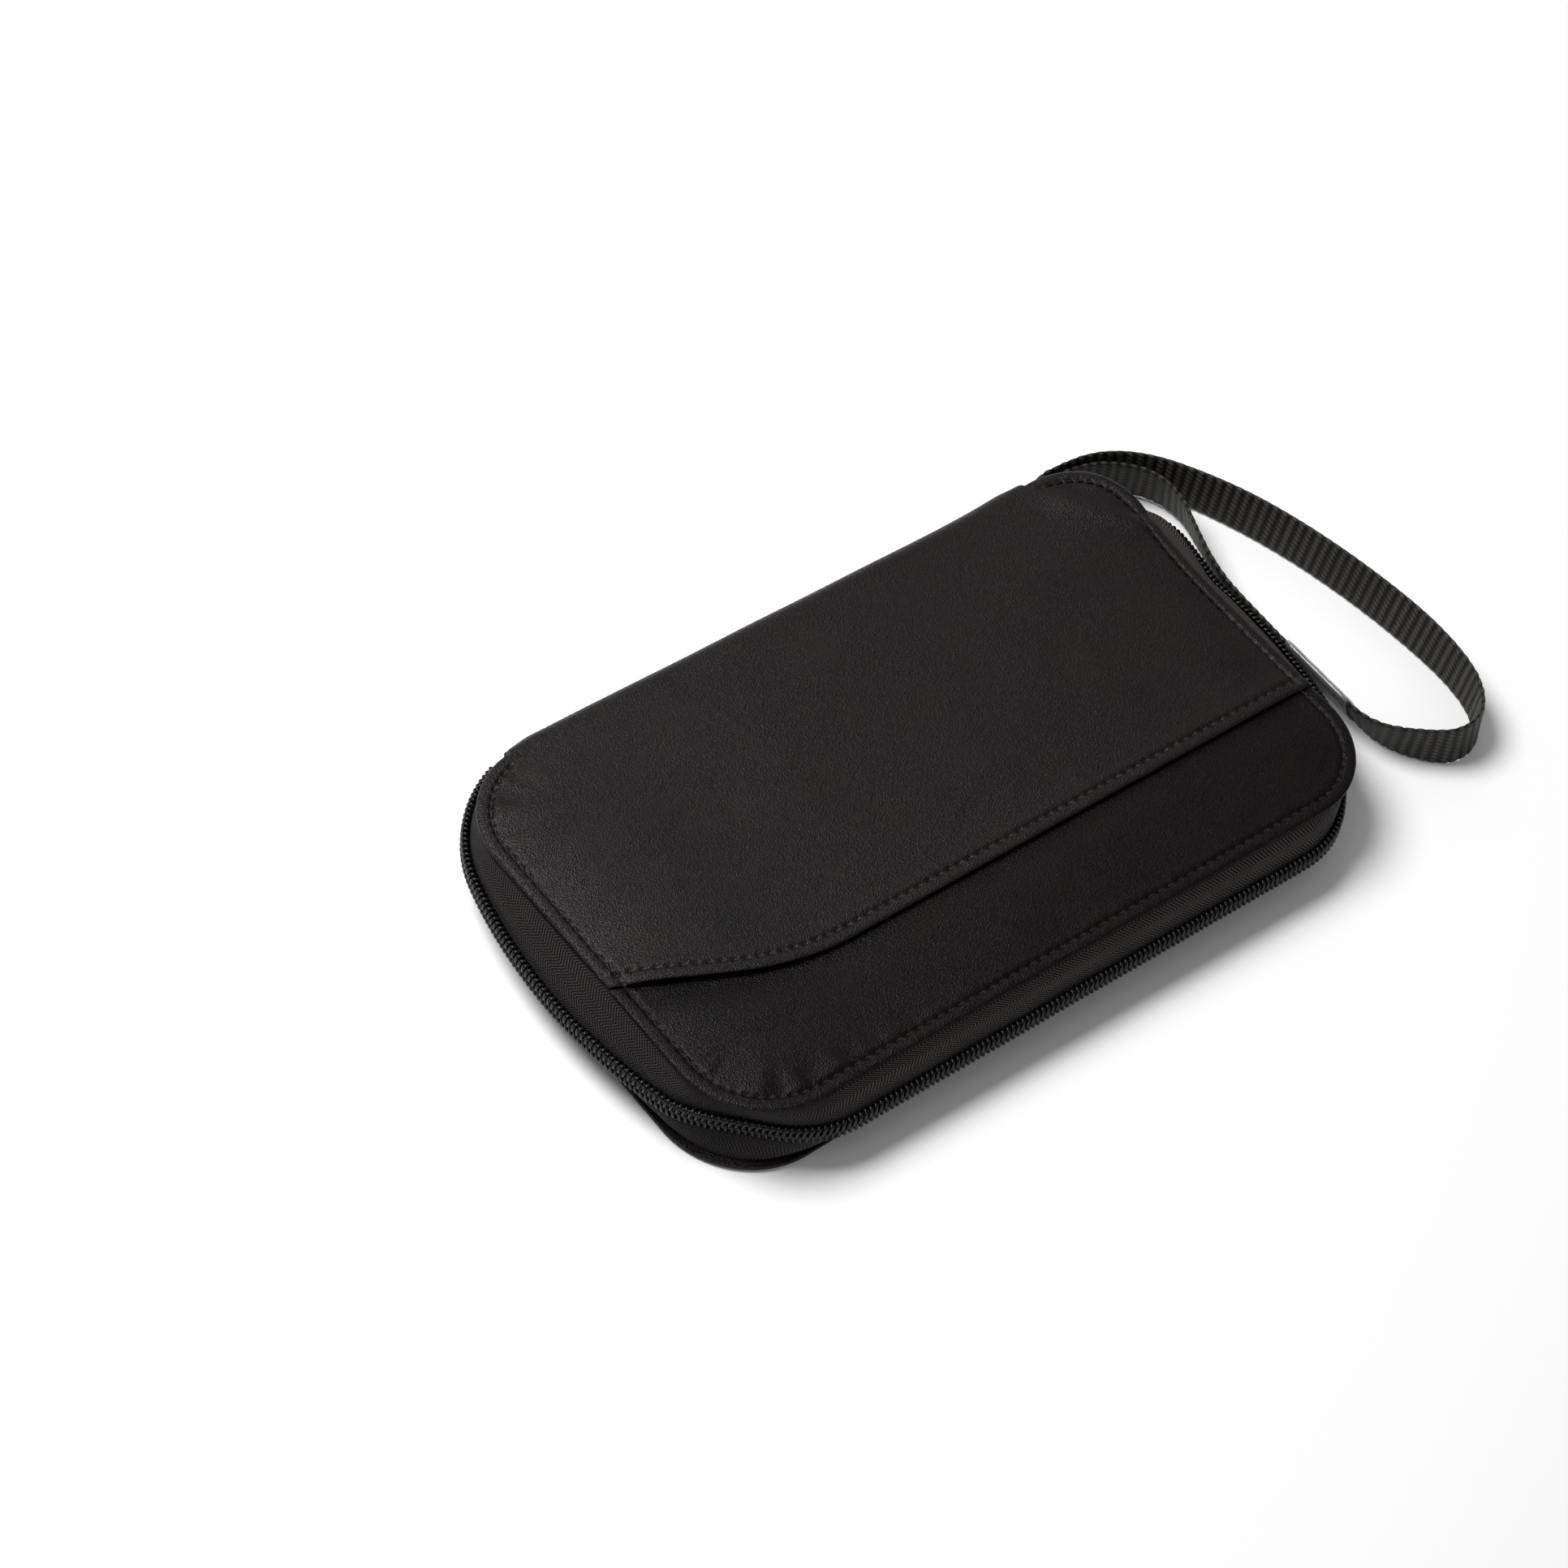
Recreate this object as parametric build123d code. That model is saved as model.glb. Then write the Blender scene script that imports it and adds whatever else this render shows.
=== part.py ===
from build123d import *
import math
import os

# A zip-round passport and travel wallet, lying closed on its back cover. Millimetres, +Z up.
# +X runs along the wallet towards the wrist strap, +Y towards the spine.

# Driving dimensions
COVER_LENGTH = 210.0
COVER_WIDTH = 124.0
COVER_RADIUS = 25.0
THICKNESS = 22.0
LEATHER = 0.8
LAYER_GAP = 0.1

# The closed zip's centre line: straight long sides, bowed short ends, rounded corners
ZIP_HALF_LENGTH = 114.0
ZIP_HALF_WIDTH = 67.0
ZIP_CORNER = 38.0
ZIP_CORNER_SWEEP = 75.0
COIL_HALF_DEPTH = 1.3
COIL_HEIGHT = 2.5
CHAIN_HALF_GAP = 0.6
TAPE = 0.7
TAPE_INSET = COIL_HALF_DEPTH + 0.2
TAPE_UPRIGHT = 4.2
TAPE_FOOT = 1.8
TAPE_CLEARANCE = 0.3
TAPE_TUCK = 1.5
ZIP_END = 58.0
PARKED_CHAIN_END = 36.0

# The slider, parked on the right-hand corner, and its pull
SLIDER_AT = 45.0
SLIDER_HALF_LENGTH = 5.0
SLIDER_HALF_WIDTH = 4.6
SLIDER_OUTER_PLATE = 1.0
SLIDER_INNER_PLATE = 0.8
SLIDER_CORNER = 1.6
SLIDER_CLEARANCE = 0.5
SLIDER_LIP = 0.9
SLIDER_WEB = 0.8
POST = 0.8
POST_HALF_LENGTH = 1.1
PIN_LIFT = 2.7
PIN_RADIUS = 0.6
PIN_PLAY = 0.08
EYE_RADIUS = 1.4
EYE_HALF_WIDTH = 1.4
PULL_LENGTH = 14.2
PULL_THICK = 1.2
PULL_HALF_NECK = 1.2
PULL_HALF_WIDTH = 2.9
PULL_HOLE_RADIUS = 1.3

# The spine, a strip between the two fold lines
SPINE_HALF_LENGTH = 83.0
SPINE_BACK = 65.0
FOLD_Y = 64.0
SPINE_BOARD = 1.2
SPINE_BOARD_GAP = 0.2
SPINE_LINING_GAP = 0.4
SPINE_LEATHER_LOW = 1.2
SPINE_BOARD_LOW = 3.0
SPINE_LINING_LOW = 4.0
END_TAB_LENGTH = 6.6
END_TAB_DEPTH = 5.0
END_TAB_HEIGHT = 10.0
END_TAB_EDGE = 1.2
END_TAB_GAP = 1.0

# The front cover's lap seam
SEAM_Y = -29.3
SEAM_TURN_X = -62.7
SEAM_SLOPE = 0.468
SEAM_RADIUS = 77.0
SEAM_LAP = 6.0

# The layers under the leather
PADDING = 0.8
BOARD = 1.3
LINING = 0.6
PADDING_INSET = 2.0
BOARD_INSET = 3.0
LINING_INSET = 2.5

# Pockets inside
POCKET_SHEET = 0.7
POCKET_GAP = 0.3
POCKET_LEFT = -96.0
POCKET_FRONT = -50.0
POCKET_CORNER = 4.0
DOCUMENT_RIGHT = 82.0
DOCUMENT_BACK = 46.0
PASSPORT_RIGHT = 26.0
PASSPORT_BACK = 44.0
PASSPORT_DEPTH = 4.4
WELT = 3.0
CARD_SLOTS = 4
CARD_FIRST_RIGHT = 14.0
CARD_STEP = 16.0

# The wrist strap, a flat band standing on its edge, and the clear sleeve on it
STRAP_WIDTH = 12.0
STRAP_THICK = 1.5
STRAP_Z = 7.2
STRAP_SIDE_X = 118.8
SLEEVE_WALL = 0.5
SLEEVE_PLAY = 0.55
SLEEVE_LOW_Y = -34.0
SLEEVE_LENGTH = 24.0
SLEEVE_EDGE = 1.75
ANCHOR_FACE_X = 98.5
ANCHOR_LENGTH = 5.7
ANCHOR_MARGIN = 1.2
ANCHOR_EDGE = 1.0
ANCHOR_FOOT_SHORT = 1.5
ANCHOR_FOOT_Y = 57.6

# The strap's route seen from above, from the anchor, round the loop and back to the anchor
STRAP_ROUTE = [
    (98.5, 69.3), (109.0, 69.3), (119.5, 66.0), (128.5, 58.5), (135.5, 47.5), (141.5, 35.0),
    (146.5, 20.0), (150.2, 4.0), (152.7, -12.0), (153.8, -26.0), (153.4, -38.5), (150.8, -49.0),
    (144.5, -57.0), (134.5, -58.0), (126.5, -51.5), (121.0, -44.5), (118.8, -37.0), (118.8, 10.0),
    (120.5, 22.0), (124.0, 33.5), (127.8, 44.5), (126.0, 55.0), (118.5, 62.8), (108.5, 67.2),
    (98.5, 67.2),
]

MID_Z = THICKNESS / 2
MIDDLE = Plane(origin=(0, 0, MID_Z))
CHAIN_FRONT = -(ZIP_HALF_WIDTH + COIL_HALF_DEPTH)
CENTRING = Location((0, -(CHAIN_FRONT + SPINE_BACK) / 2, 0))

TAPE_BEND_Z = MID_Z + CHAIN_HALF_GAP + TAPE_UPRIGHT
TAPE_RISE = THICKNESS - TAPE_FOOT - TAPE_BEND_Z

SWEEP = math.radians(ZIP_CORNER_SWEEP)
CORNER_Y = ZIP_HALF_WIDTH - ZIP_CORNER
BOW = (ZIP_HALF_WIDTH - ZIP_CORNER * (1 - math.cos(SWEEP))) / math.cos(SWEEP)
BOW_X = ZIP_HALF_LENGTH - BOW
CORNER_X = BOW_X + (BOW - ZIP_CORNER) * math.sin(SWEEP)


def save(shape, node):
    """Writes one node, centred on the wallet's own box."""
    shape.label = node
    export_step(CENTRING * shape, f"parts/{node}.step")


def plate(face, low, height):
    """A flat layer of the given outline."""
    return extrude(Pos(0, 0, low) * face, amount=height)


def block(x, y, z):
    """A box from three pairs of limits."""
    size = Box(x[1] - x[0], y[1] - y[0], z[1] - z[0])
    return Pos((x[0] + x[1]) / 2, (y[0] + y[1]) / 2, (z[0] + z[1]) / 2) * size


def cover_outline(inset=0.0):
    """The leather cover's outline, with its edges in the same order as the zip's outline."""
    radius = COVER_RADIUS - inset
    side, front = COVER_LENGTH / 2 - inset, COVER_WIDTH / 2 - inset
    x, y = side - radius, front - radius
    edges = [
        CenterArc((x, -y), radius, -90, 90),
        Line((side, -y), (side, y)),
        CenterArc((x, y), radius, 0, 90),
        Line((x, front), (-x, front)),
        CenterArc((-x, y), radius, 90, 90),
        Line((-side, y), (-side, -y)),
        CenterArc((-x, -y), radius, 180, 90),
        Line((-x, -front), (x, -front)),
    ]
    return make_face(edges)


def inner_outline(inset):
    """A layer inside the cover: it stays clear of the zip tape's foot."""
    return cover_outline(max(inset, TAPE_TUCK + TAPE + TAPE_CLEARANCE))


def box_outline(left, right, front, back, corner=0.0):
    size = (right - left, back - front)
    outline = RectangleRounded(*size, corner) if corner else Rectangle(*size)
    return Pos((left + right) / 2, (front + back) / 2) * outline


def zip_outline(inset):
    """The area inside the zip's centre line, with its edge moved inwards by inset."""
    corner, bow, half_width = ZIP_CORNER - inset, BOW - inset, ZIP_HALF_WIDTH - inset
    rest = 90 - ZIP_CORNER_SWEEP
    edges = [
        CenterArc((CORNER_X, -CORNER_Y), corner, -90, ZIP_CORNER_SWEEP),
        CenterArc((BOW_X, 0), bow, -rest, 2 * rest),
        CenterArc((CORNER_X, CORNER_Y), corner, rest, ZIP_CORNER_SWEEP),
        Line((CORNER_X, half_width), (-CORNER_X, half_width)),
        CenterArc((-CORNER_X, CORNER_Y), corner, 90, ZIP_CORNER_SWEEP),
        CenterArc((-BOW_X, 0), bow, 180 - rest, 2 * rest),
        CenterArc((-CORNER_X, -CORNER_Y), corner, 180 + rest, ZIP_CORNER_SWEEP),
        Line((-CORNER_X, -half_width), (CORNER_X, -half_width)),
    ]
    return make_face(edges)


def behind_the_ends(right_angle, left_angle):
    """The block at the spine that a zip part ending at these corner angles leaves free."""
    reach = 70.0
    right, left = math.radians(right_angle), math.radians(left_angle)
    corners = [
        (-CORNER_X, CORNER_Y),
        (CORNER_X, CORNER_Y),
        (CORNER_X + reach * math.cos(right), CORNER_Y + reach * math.sin(right)),
        (-CORNER_X - reach * math.cos(left), CORNER_Y + reach * math.sin(left)),
    ]
    return plate(make_face(Polyline(*corners, close=True)), -reach, 2 * reach + THICKNESS)


def zip_ring(outer_inset, inner_inset, low, height, right_angle, left_angle):
    """An upright band along the zip, open at the spine."""
    face = zip_outline(outer_inset) - zip_outline(inner_inset)
    return plate(face, low, height) - behind_the_ends(right_angle, left_angle)


def front_tape(right_angle):
    """The front half's zip tape: upright beside the coil, then sloping in under the cover's edge."""
    upright = zip_ring(
        TAPE_INSET, TAPE_INSET + TAPE, MID_Z + CHAIN_HALF_GAP, TAPE_UPRIGHT, right_angle, ZIP_END
    )
    outside, inside = (
        loft(
            [
                Pos(0, 0, TAPE_BEND_Z) * zip_outline(TAPE_INSET + depth),
                Pos(0, 0, TAPE_BEND_Z + TAPE_RISE) * cover_outline(TAPE_TUCK + depth),
            ],
            ruled=True,
        )
        for depth in (0, TAPE)
    )
    return upright + (outside - inside - behind_the_ends(ZIP_END, ZIP_END))


def front_coil(right_angle):
    return zip_ring(
        -COIL_HALF_DEPTH, COIL_HALF_DEPTH, MID_Z + CHAIN_HALF_GAP, COIL_HEIGHT, right_angle, ZIP_END
    )


def seam_region(lap):
    """The area on the spine's side of the lap seam, with the seam moved towards the spine by lap."""
    far = COVER_LENGTH
    left_y = SEAM_Y + SEAM_SLOPE * (SEAM_TURN_X + far)
    seam = FilletPolyline(
        (far, SEAM_Y + lap), (SEAM_TURN_X, SEAM_Y + lap), (-far, left_y + lap), radius=SEAM_RADIUS
    )
    rest = Polyline((-far, left_y + lap), (-far, far), (far, far), (far, SEAM_Y + lap))
    return make_face([*seam.edges(), *rest.edges()])


def front_cover():
    """The leather, padding, board and lining of the front cover, from the top down."""
    upper_low = THICKNESS - LEATHER
    lower_low = upper_low - LAYER_GAP - LEATHER
    board_low = lower_low - LAYER_GAP - BOARD
    lining_low = board_low - LAYER_GAP - LINING
    save(plate(cover_outline() & seam_region(0), upper_low, LEATHER), "front_upper_panel")
    save(plate(cover_outline() - seam_region(SEAM_LAP), lower_low, LEATHER), "front_lower_panel")
    padding = cover_outline(PADDING_INSET) & seam_region(SEAM_LAP + LAYER_GAP)
    save(plate(padding, lower_low, PADDING), "front_padding")
    save(plate(inner_outline(BOARD_INSET), board_low, BOARD), "front_board")
    save(plate(inner_outline(LINING_INSET), lining_low, LINING), "front_lining")
    return lining_low


def back_cover():
    """The same layers of the back cover, from the bottom up."""
    padding_low = LEATHER + LAYER_GAP
    board_low = padding_low + PADDING + LAYER_GAP
    lining_low = board_low + BOARD + LAYER_GAP
    save(plate(cover_outline(), 0, LEATHER), "back_cover_leather")
    save(plate(cover_outline(PADDING_INSET), padding_low, PADDING), "back_padding")
    save(plate(inner_outline(BOARD_INSET), board_low, BOARD), "back_board")
    save(plate(inner_outline(LINING_INSET), lining_low, LINING), "back_lining")
    return lining_low + LINING


def front_pockets(ceiling):
    """A ticket pocket and stepped card slots hanging under the front cover's lining."""
    step = POCKET_SHEET + POCKET_GAP
    ticket = box_outline(POCKET_LEFT, DOCUMENT_RIGHT, POCKET_FRONT, DOCUMENT_BACK, POCKET_CORNER)
    save(plate(ticket, ceiling - step, POCKET_SHEET), "ticket_pocket")
    for slot in range(CARD_SLOTS):
        right = CARD_FIRST_RIGHT - CARD_STEP * slot
        outline = box_outline(POCKET_LEFT, right, POCKET_FRONT, DOCUMENT_BACK, POCKET_CORNER)
        low = ceiling - step * (slot + 2)
        save(plate(outline, low, POCKET_SHEET), f"card_slot_{slot + 1}")


def back_pockets(floor):
    """A flat document pocket, and on it a passport pocket open towards the strap end."""
    document_low = floor + POCKET_GAP
    document = box_outline(POCKET_LEFT, DOCUMENT_RIGHT, POCKET_FRONT, DOCUMENT_BACK, POCKET_CORNER)
    save(plate(document, document_low, POCKET_SHEET), "document_pocket")
    welt_low = document_low + POCKET_SHEET + LAYER_GAP
    outer = box_outline(POCKET_LEFT, PASSPORT_RIGHT, POCKET_FRONT, PASSPORT_BACK, POCKET_CORNER)
    inner = box_outline(
        POCKET_LEFT + WELT, PASSPORT_RIGHT + WELT, POCKET_FRONT + WELT, PASSPORT_BACK - WELT
    )
    save(plate(outer - inner, welt_low, PASSPORT_DEPTH), "passport_pocket_welt")
    panel_low = welt_low + PASSPORT_DEPTH + LAYER_GAP
    save(plate(outer, panel_low, POCKET_SHEET), "passport_pocket_panel")
    print(f"passport pocket from z {welt_low:.2f} to {welt_low + PASSPORT_DEPTH:.2f}")


def spine():
    """The strip at the back: leather outside, a board, a lining, and a tab over each end of the zip."""
    board_back = FOLD_Y - SPINE_BOARD_GAP
    lining_back = board_back - SPINE_BOARD - SPINE_LINING_GAP
    layers = [
        ("spine_leather", FOLD_Y, SPINE_BACK, SPINE_LEATHER_LOW),
        ("spine_board", board_back - SPINE_BOARD, board_back, SPINE_BOARD_LOW),
        ("spine_lining", lining_back - LINING, lining_back, SPINE_LINING_LOW),
    ]
    for node, front, back, low in layers:
        along = (-SPINE_HALF_LENGTH, SPINE_HALF_LENGTH)
        save(block(along, (front, back), (low, THICKNESS - low)), node)
    tab = Box(END_TAB_LENGTH, END_TAB_DEPTH, END_TAB_HEIGHT)
    tab = fillet(tab.edges().filter_by(Axis.X), END_TAB_EDGE)
    tab_x = SPINE_HALF_LENGTH + END_TAB_GAP + END_TAB_LENGTH / 2
    tab_y = (FOLD_Y + SPINE_BACK - END_TAB_DEPTH) / 2
    for node, side in (("zip_end_tab_left", -1), ("zip_end_tab_right", 1)):
        save(Pos(side * tab_x, tab_y, MID_Z) * tab, node)


def slider_frame():
    """x points out of the wallet, y along the zip towards the spine, at the parked slider."""
    angle = math.radians(SLIDER_AT)
    return Plane(
        origin=(CORNER_X, CORNER_Y, MID_Z), x_dir=(math.cos(angle), math.sin(angle), 0), z_dir=(0, 0, 1)
    )


def slider_body(outside, inside, pin_x):
    """Two plates joined by a web between the coils, with lips over the coils and a pin on two posts."""
    along = (-SLIDER_HALF_LENGTH, SLIDER_HALF_LENGTH)
    across = (-SLIDER_HALF_WIDTH, SLIDER_HALF_WIDTH)
    outer = block((outside, outside + SLIDER_OUTER_PLATE), along, across)
    inner = block((inside - SLIDER_INNER_PLATE, inside), along, across)
    body = fillet(outer.edges().filter_by(Axis.X), SLIDER_CORNER)
    body += fillet(inner.edges().filter_by(Axis.X), SLIDER_CORNER)
    overlap = 0.2
    lip_depth = 2.4
    lip_half_length = SLIDER_HALF_LENGTH - SLIDER_CORNER
    post_low = EYE_HALF_WIDTH + 0.4
    for side in (-1, 1):
        edge = sorted((side * (SLIDER_HALF_WIDTH - SLIDER_LIP), side * SLIDER_HALF_WIDTH))
        reach = (outside - lip_depth, outside + overlap)
        body += block(reach, (-lip_half_length, lip_half_length), edge)
        post = sorted((side * post_low, side * (post_low + POST)))
        rise = (outside + SLIDER_OUTER_PLATE / 2, pin_x + PIN_RADIUS + 0.3)
        body += block(rise, (-POST_HALF_LENGTH, POST_HALF_LENGTH), post)
    web_along = (SLIDER_HALF_LENGTH - 3.2, SLIDER_HALF_LENGTH - 0.6)
    web = block((inside - overlap, outside + overlap), web_along, (-SLIDER_WEB / 2, SLIDER_WEB / 2))
    pin = Pos(pin_x, 0, 0) * Cylinder(PIN_RADIUS, 2 * (post_low + POST))
    return body + web + pin


def slider_pull(pin_x):
    """A flat tongue with a waist and a hole, on an eye round the pin, lying back along the zip."""
    plane = Plane(origin=(pin_x - PULL_THICK / 2, 0, 0), x_dir=(0, -1, 0), z_dir=(1, 0, 0))
    neck_end, broad_start = 4.2, 6.2
    side = [
        (PIN_RADIUS, PULL_HALF_NECK),
        (neck_end, PULL_HALF_NECK),
        (broad_start, PULL_HALF_WIDTH),
        (PULL_LENGTH, PULL_HALF_WIDTH),
    ]
    outline = [(x, -z) for x, z in side] + side[::-1]
    tongue = make_face(Polyline(*outline, close=True))
    tongue = fillet(tongue.vertices().group_by(Axis.X)[-1], PULL_HALF_WIDTH - 0.7)
    tongue -= Pos(PULL_LENGTH - PULL_HALF_WIDTH, 0) * Circle(PULL_HOLE_RADIUS)
    pull = extrude(plane * tongue, amount=PULL_THICK)
    pull += Pos(pin_x, 0, 0) * Cylinder(EYE_RADIUS, 2 * EYE_HALF_WIDTH)
    return pull - Pos(pin_x, 0, 0) * Cylinder(PIN_RADIUS + PIN_PLAY, 4 * EYE_HALF_WIDTH)


def slider():
    """The zip slider round both coils, and its pull on a pin across the slider's crown."""
    outside = ZIP_CORNER + COIL_HALF_DEPTH + SLIDER_CLEARANCE
    inside = ZIP_CORNER - TAPE_INSET - TAPE - SLIDER_CLEARANCE - 0.2
    pin_x = outside + PIN_LIFT
    place = slider_frame().location
    save(place * slider_body(outside, inside, pin_x), "slider_body")
    save(place * slider_pull(pin_x), "slider_pull")
    angle = math.radians(SLIDER_AT)
    pin = (CORNER_X + pin_x * math.cos(angle), CORNER_Y + pin_x * math.sin(angle))
    print(f"slider turns about {CORNER_X:.3f}, {CORNER_Y:.3f}; pull pin at {pin[0]:.3f}, {pin[1]:.3f}")


def strap_radii():
    """One radius for each corner of the route, as large as its two runs allow."""
    radii = []
    for before, corner, after in zip(STRAP_ROUTE, STRAP_ROUTE[1:], STRAP_ROUTE[2:]):
        run_in, run_out = Vector(*corner) - Vector(*before), Vector(*after) - Vector(*corner)
        half_turn = math.radians(run_in.get_angle(run_out)) / 2
        radii.append(0.45 * min(run_in.length, run_out.length) / math.tan(half_turn))
    return radii


def strap():
    """The wrist strap's band, its sewn anchor tab, and the clear sleeve that rides on it."""
    radii = strap_radii()
    path = FilletPolyline(*[(x, y, STRAP_Z) for x, y in STRAP_ROUTE], radius=radii)
    start = Plane(origin=path @ 0, x_dir=(0, 0, 1), z_dir=path % 0)
    band = sweep(start * Rectangle(STRAP_WIDTH, STRAP_THICK), path=path)
    save(band, "wrist_strap")
    expected = STRAP_WIDTH * STRAP_THICK * path.length
    print("strap radii", [round(r, 1) for r in radii])
    print(f"strap length {path.length:.1f}, volume {band.volume:.0f}, section x length {expected:.0f}")

    low, high = STRAP_Z - STRAP_WIDTH / 2, STRAP_Z + STRAP_WIDTH / 2
    ends_y = sorted((STRAP_ROUTE[0][1], STRAP_ROUTE[-1][1]))
    head_y = (ends_y[0] - ANCHOR_MARGIN, ends_y[1] + ANCHOR_MARGIN)
    across = (ANCHOR_FACE_X - ANCHOR_LENGTH, ANCHOR_FACE_X)
    head = block(across, head_y, (low, high))
    head = fillet(head.edges().filter_by(Axis.Z).group_by(Axis.X)[0], ANCHOR_EDGE)
    foot_x = (across[0], ANCHOR_FACE_X - ANCHOR_FOOT_SHORT)
    foot_y = (ANCHOR_FOOT_Y, head_y[1] - ANCHOR_FOOT_SHORT)
    foot = block(foot_x, foot_y, (LEATHER + LAYER_GAP, low + ANCHOR_MARGIN))
    save(head + foot, "strap_anchor")

    inner_x, inner_z = STRAP_THICK + 2 * SLEEVE_PLAY, STRAP_WIDTH + 2 * SLEEVE_PLAY
    outer_x, outer_z = inner_x + 2 * SLEEVE_WALL, inner_z + 2 * SLEEVE_WALL
    section = RectangleRounded(outer_x, outer_z, SLEEVE_EDGE)
    section -= RectangleRounded(inner_x, inner_z, SLEEVE_EDGE - SLEEVE_WALL)
    mouth = Plane(origin=(STRAP_SIDE_X, SLEEVE_LOW_Y, STRAP_Z), x_dir=(-1, 0, 0), z_dir=(0, 1, 0))
    save(extrude(mouth * section, amount=SLEEVE_LENGTH), "strap_sleeve")


os.makedirs("parts", exist_ok=True)
front_pockets(front_cover())
back_pockets(back_cover())
spine()
save(front_tape(PARKED_CHAIN_END), "front_zip_tape")
save(front_coil(PARKED_CHAIN_END), "front_coil")
save(mirror(front_tape(ZIP_END), about=MIDDLE), "back_zip_tape")
save(mirror(front_coil(ZIP_END), about=MIDDLE), "back_coil")
slider()
strap()
print(f"moved by {CENTRING.position.Y:.3f} along Y to centre the wallet")
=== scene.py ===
import math

import bpy
import numpy as np
from mathutils import Matrix, Vector, noise
from mathutils.geometry import delaunay_2d_cdt


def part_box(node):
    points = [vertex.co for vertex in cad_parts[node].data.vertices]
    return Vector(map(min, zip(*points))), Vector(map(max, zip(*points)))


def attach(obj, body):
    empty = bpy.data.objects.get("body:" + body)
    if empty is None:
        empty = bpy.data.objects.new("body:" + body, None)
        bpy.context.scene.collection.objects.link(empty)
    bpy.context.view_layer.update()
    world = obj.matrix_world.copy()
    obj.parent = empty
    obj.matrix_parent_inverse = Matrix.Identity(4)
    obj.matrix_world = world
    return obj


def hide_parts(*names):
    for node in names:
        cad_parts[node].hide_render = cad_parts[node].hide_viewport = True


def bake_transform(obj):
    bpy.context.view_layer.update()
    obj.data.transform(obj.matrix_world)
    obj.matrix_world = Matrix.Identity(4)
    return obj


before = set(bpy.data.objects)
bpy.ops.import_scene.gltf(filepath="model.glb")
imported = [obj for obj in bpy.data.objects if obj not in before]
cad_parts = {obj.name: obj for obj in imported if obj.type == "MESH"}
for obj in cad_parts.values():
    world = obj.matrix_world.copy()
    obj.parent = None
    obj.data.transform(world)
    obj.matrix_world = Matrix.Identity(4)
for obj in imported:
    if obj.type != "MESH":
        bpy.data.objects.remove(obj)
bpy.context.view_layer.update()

# Lengths below are millimetres in the wallet's own frame, with y = 0 at the middle of the covers,
# until piece() turns them into the part's frame, in metres.
MM = 0.001
cover_low, cover_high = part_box("back_cover_leather")
CENTRE_Y = (cover_low.y + cover_high.y) / 2
COVER_HALF_LENGTH = (cover_high.x - cover_low.x) / 2 / MM
COVER_HALF_WIDTH = (cover_high.y - cover_low.y) / 2 / MM
COVER_HALF = np.array([COVER_HALF_LENGTH, COVER_HALF_WIDTH])
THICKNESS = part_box("front_upper_panel")[1].z / MM
MID_Z = THICKNESS / 2
spine_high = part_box("spine_leather")[1]
SPINE_HALF_LENGTH = spine_high.x / MM
SPINE_BACK = (spine_high.y - CENTRE_Y) / MM
UP = np.array([0.0, 0, 1])

# The webbing's weave, which the strap's mesh and its material share
RIB_PITCH = 2.8
BEAD_PITCH = 1.3

# ---- camera, floor and light

LENS = 102.3
CAMERA_PLACE = (-0.5382, -0.4644, 0.8710)
CAMERA_RIGHT = (0.7852, -0.6069, 0.1231)
CAMERA_UP = (0.4141, 0.6625, 0.6242)
WORLD_LIGHT = 0.26
FLOOR_GREY, FLOOR_HALF = 0.93, 6.0


def shown(name, data):
    """A new object in the scene."""
    obj = bpy.data.objects.new(name, data)
    bpy.context.scene.collection.objects.link(obj)
    return obj


def make_camera():
    data = bpy.data.cameras.new("camera")
    data.lens, data.sensor_width = LENS, 36
    data.clip_start, data.clip_end = 0.01, 20
    right = Vector(CAMERA_RIGHT).normalized()
    back = right.cross(Vector(CAMERA_UP)).normalized()
    turn = Matrix((right, back.cross(right), back)).transposed()
    camera = shown("camera", data)
    camera.matrix_world = Matrix.Translation(CAMERA_PLACE) @ turn.to_4x4()
    bpy.context.scene.camera = camera


def area_light(name, place, size, power):
    """A round lamp that faces the wallet."""
    data = bpy.data.lights.new(name, "AREA")
    data.shape, data.size, data.energy = "DISK", size, power
    light = shown(name, data)
    light.location = place
    light.rotation_euler = (-Vector(place)).to_track_quat("-Z", "Y").to_euler()
    return light


def make_studio():
    world = bpy.data.worlds.new("studio")
    bpy.context.scene.world = world
    world.use_nodes = True
    background = world.node_tree.nodes["Background"].inputs
    background["Color"].default_value = (1, 1, 1, 1)
    background["Strength"].default_value = WORLD_LIGHT
    area_light("softbox_above", (-0.36, 0.58, 1.12), 0.7, 19)
    area_light("softbox_behind", (0.45, 0.6, 0.39), 0.5, 0.5)
    area_light("fill_from_front", (0.2, -1.3, 0.6), 0.9, 1.4)
    area_light("edge_glint", (-0.62, -0.2, 1.0), 0.4, 5).visible_diffuse = False
    bpy.context.scene.view_settings.view_transform = "Standard"
    corners = [(x * FLOOR_HALF, y * FLOOR_HALF, 0) for x, y in ((-1, -1), (1, -1), (1, 1), (-1, 1))]
    mesh = bpy.data.meshes.new("floor")
    mesh.from_pydata(corners, [], [(0, 1, 2, 3)])
    paper = Recipe("floor_paper", Base_Color=(FLOOR_GREY, FLOOR_GREY, FLOOR_GREY, 1), Roughness=0.9)
    mesh.materials.append(paper.material)
    floor = shown("floor", mesh)


# ---- materials


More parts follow.
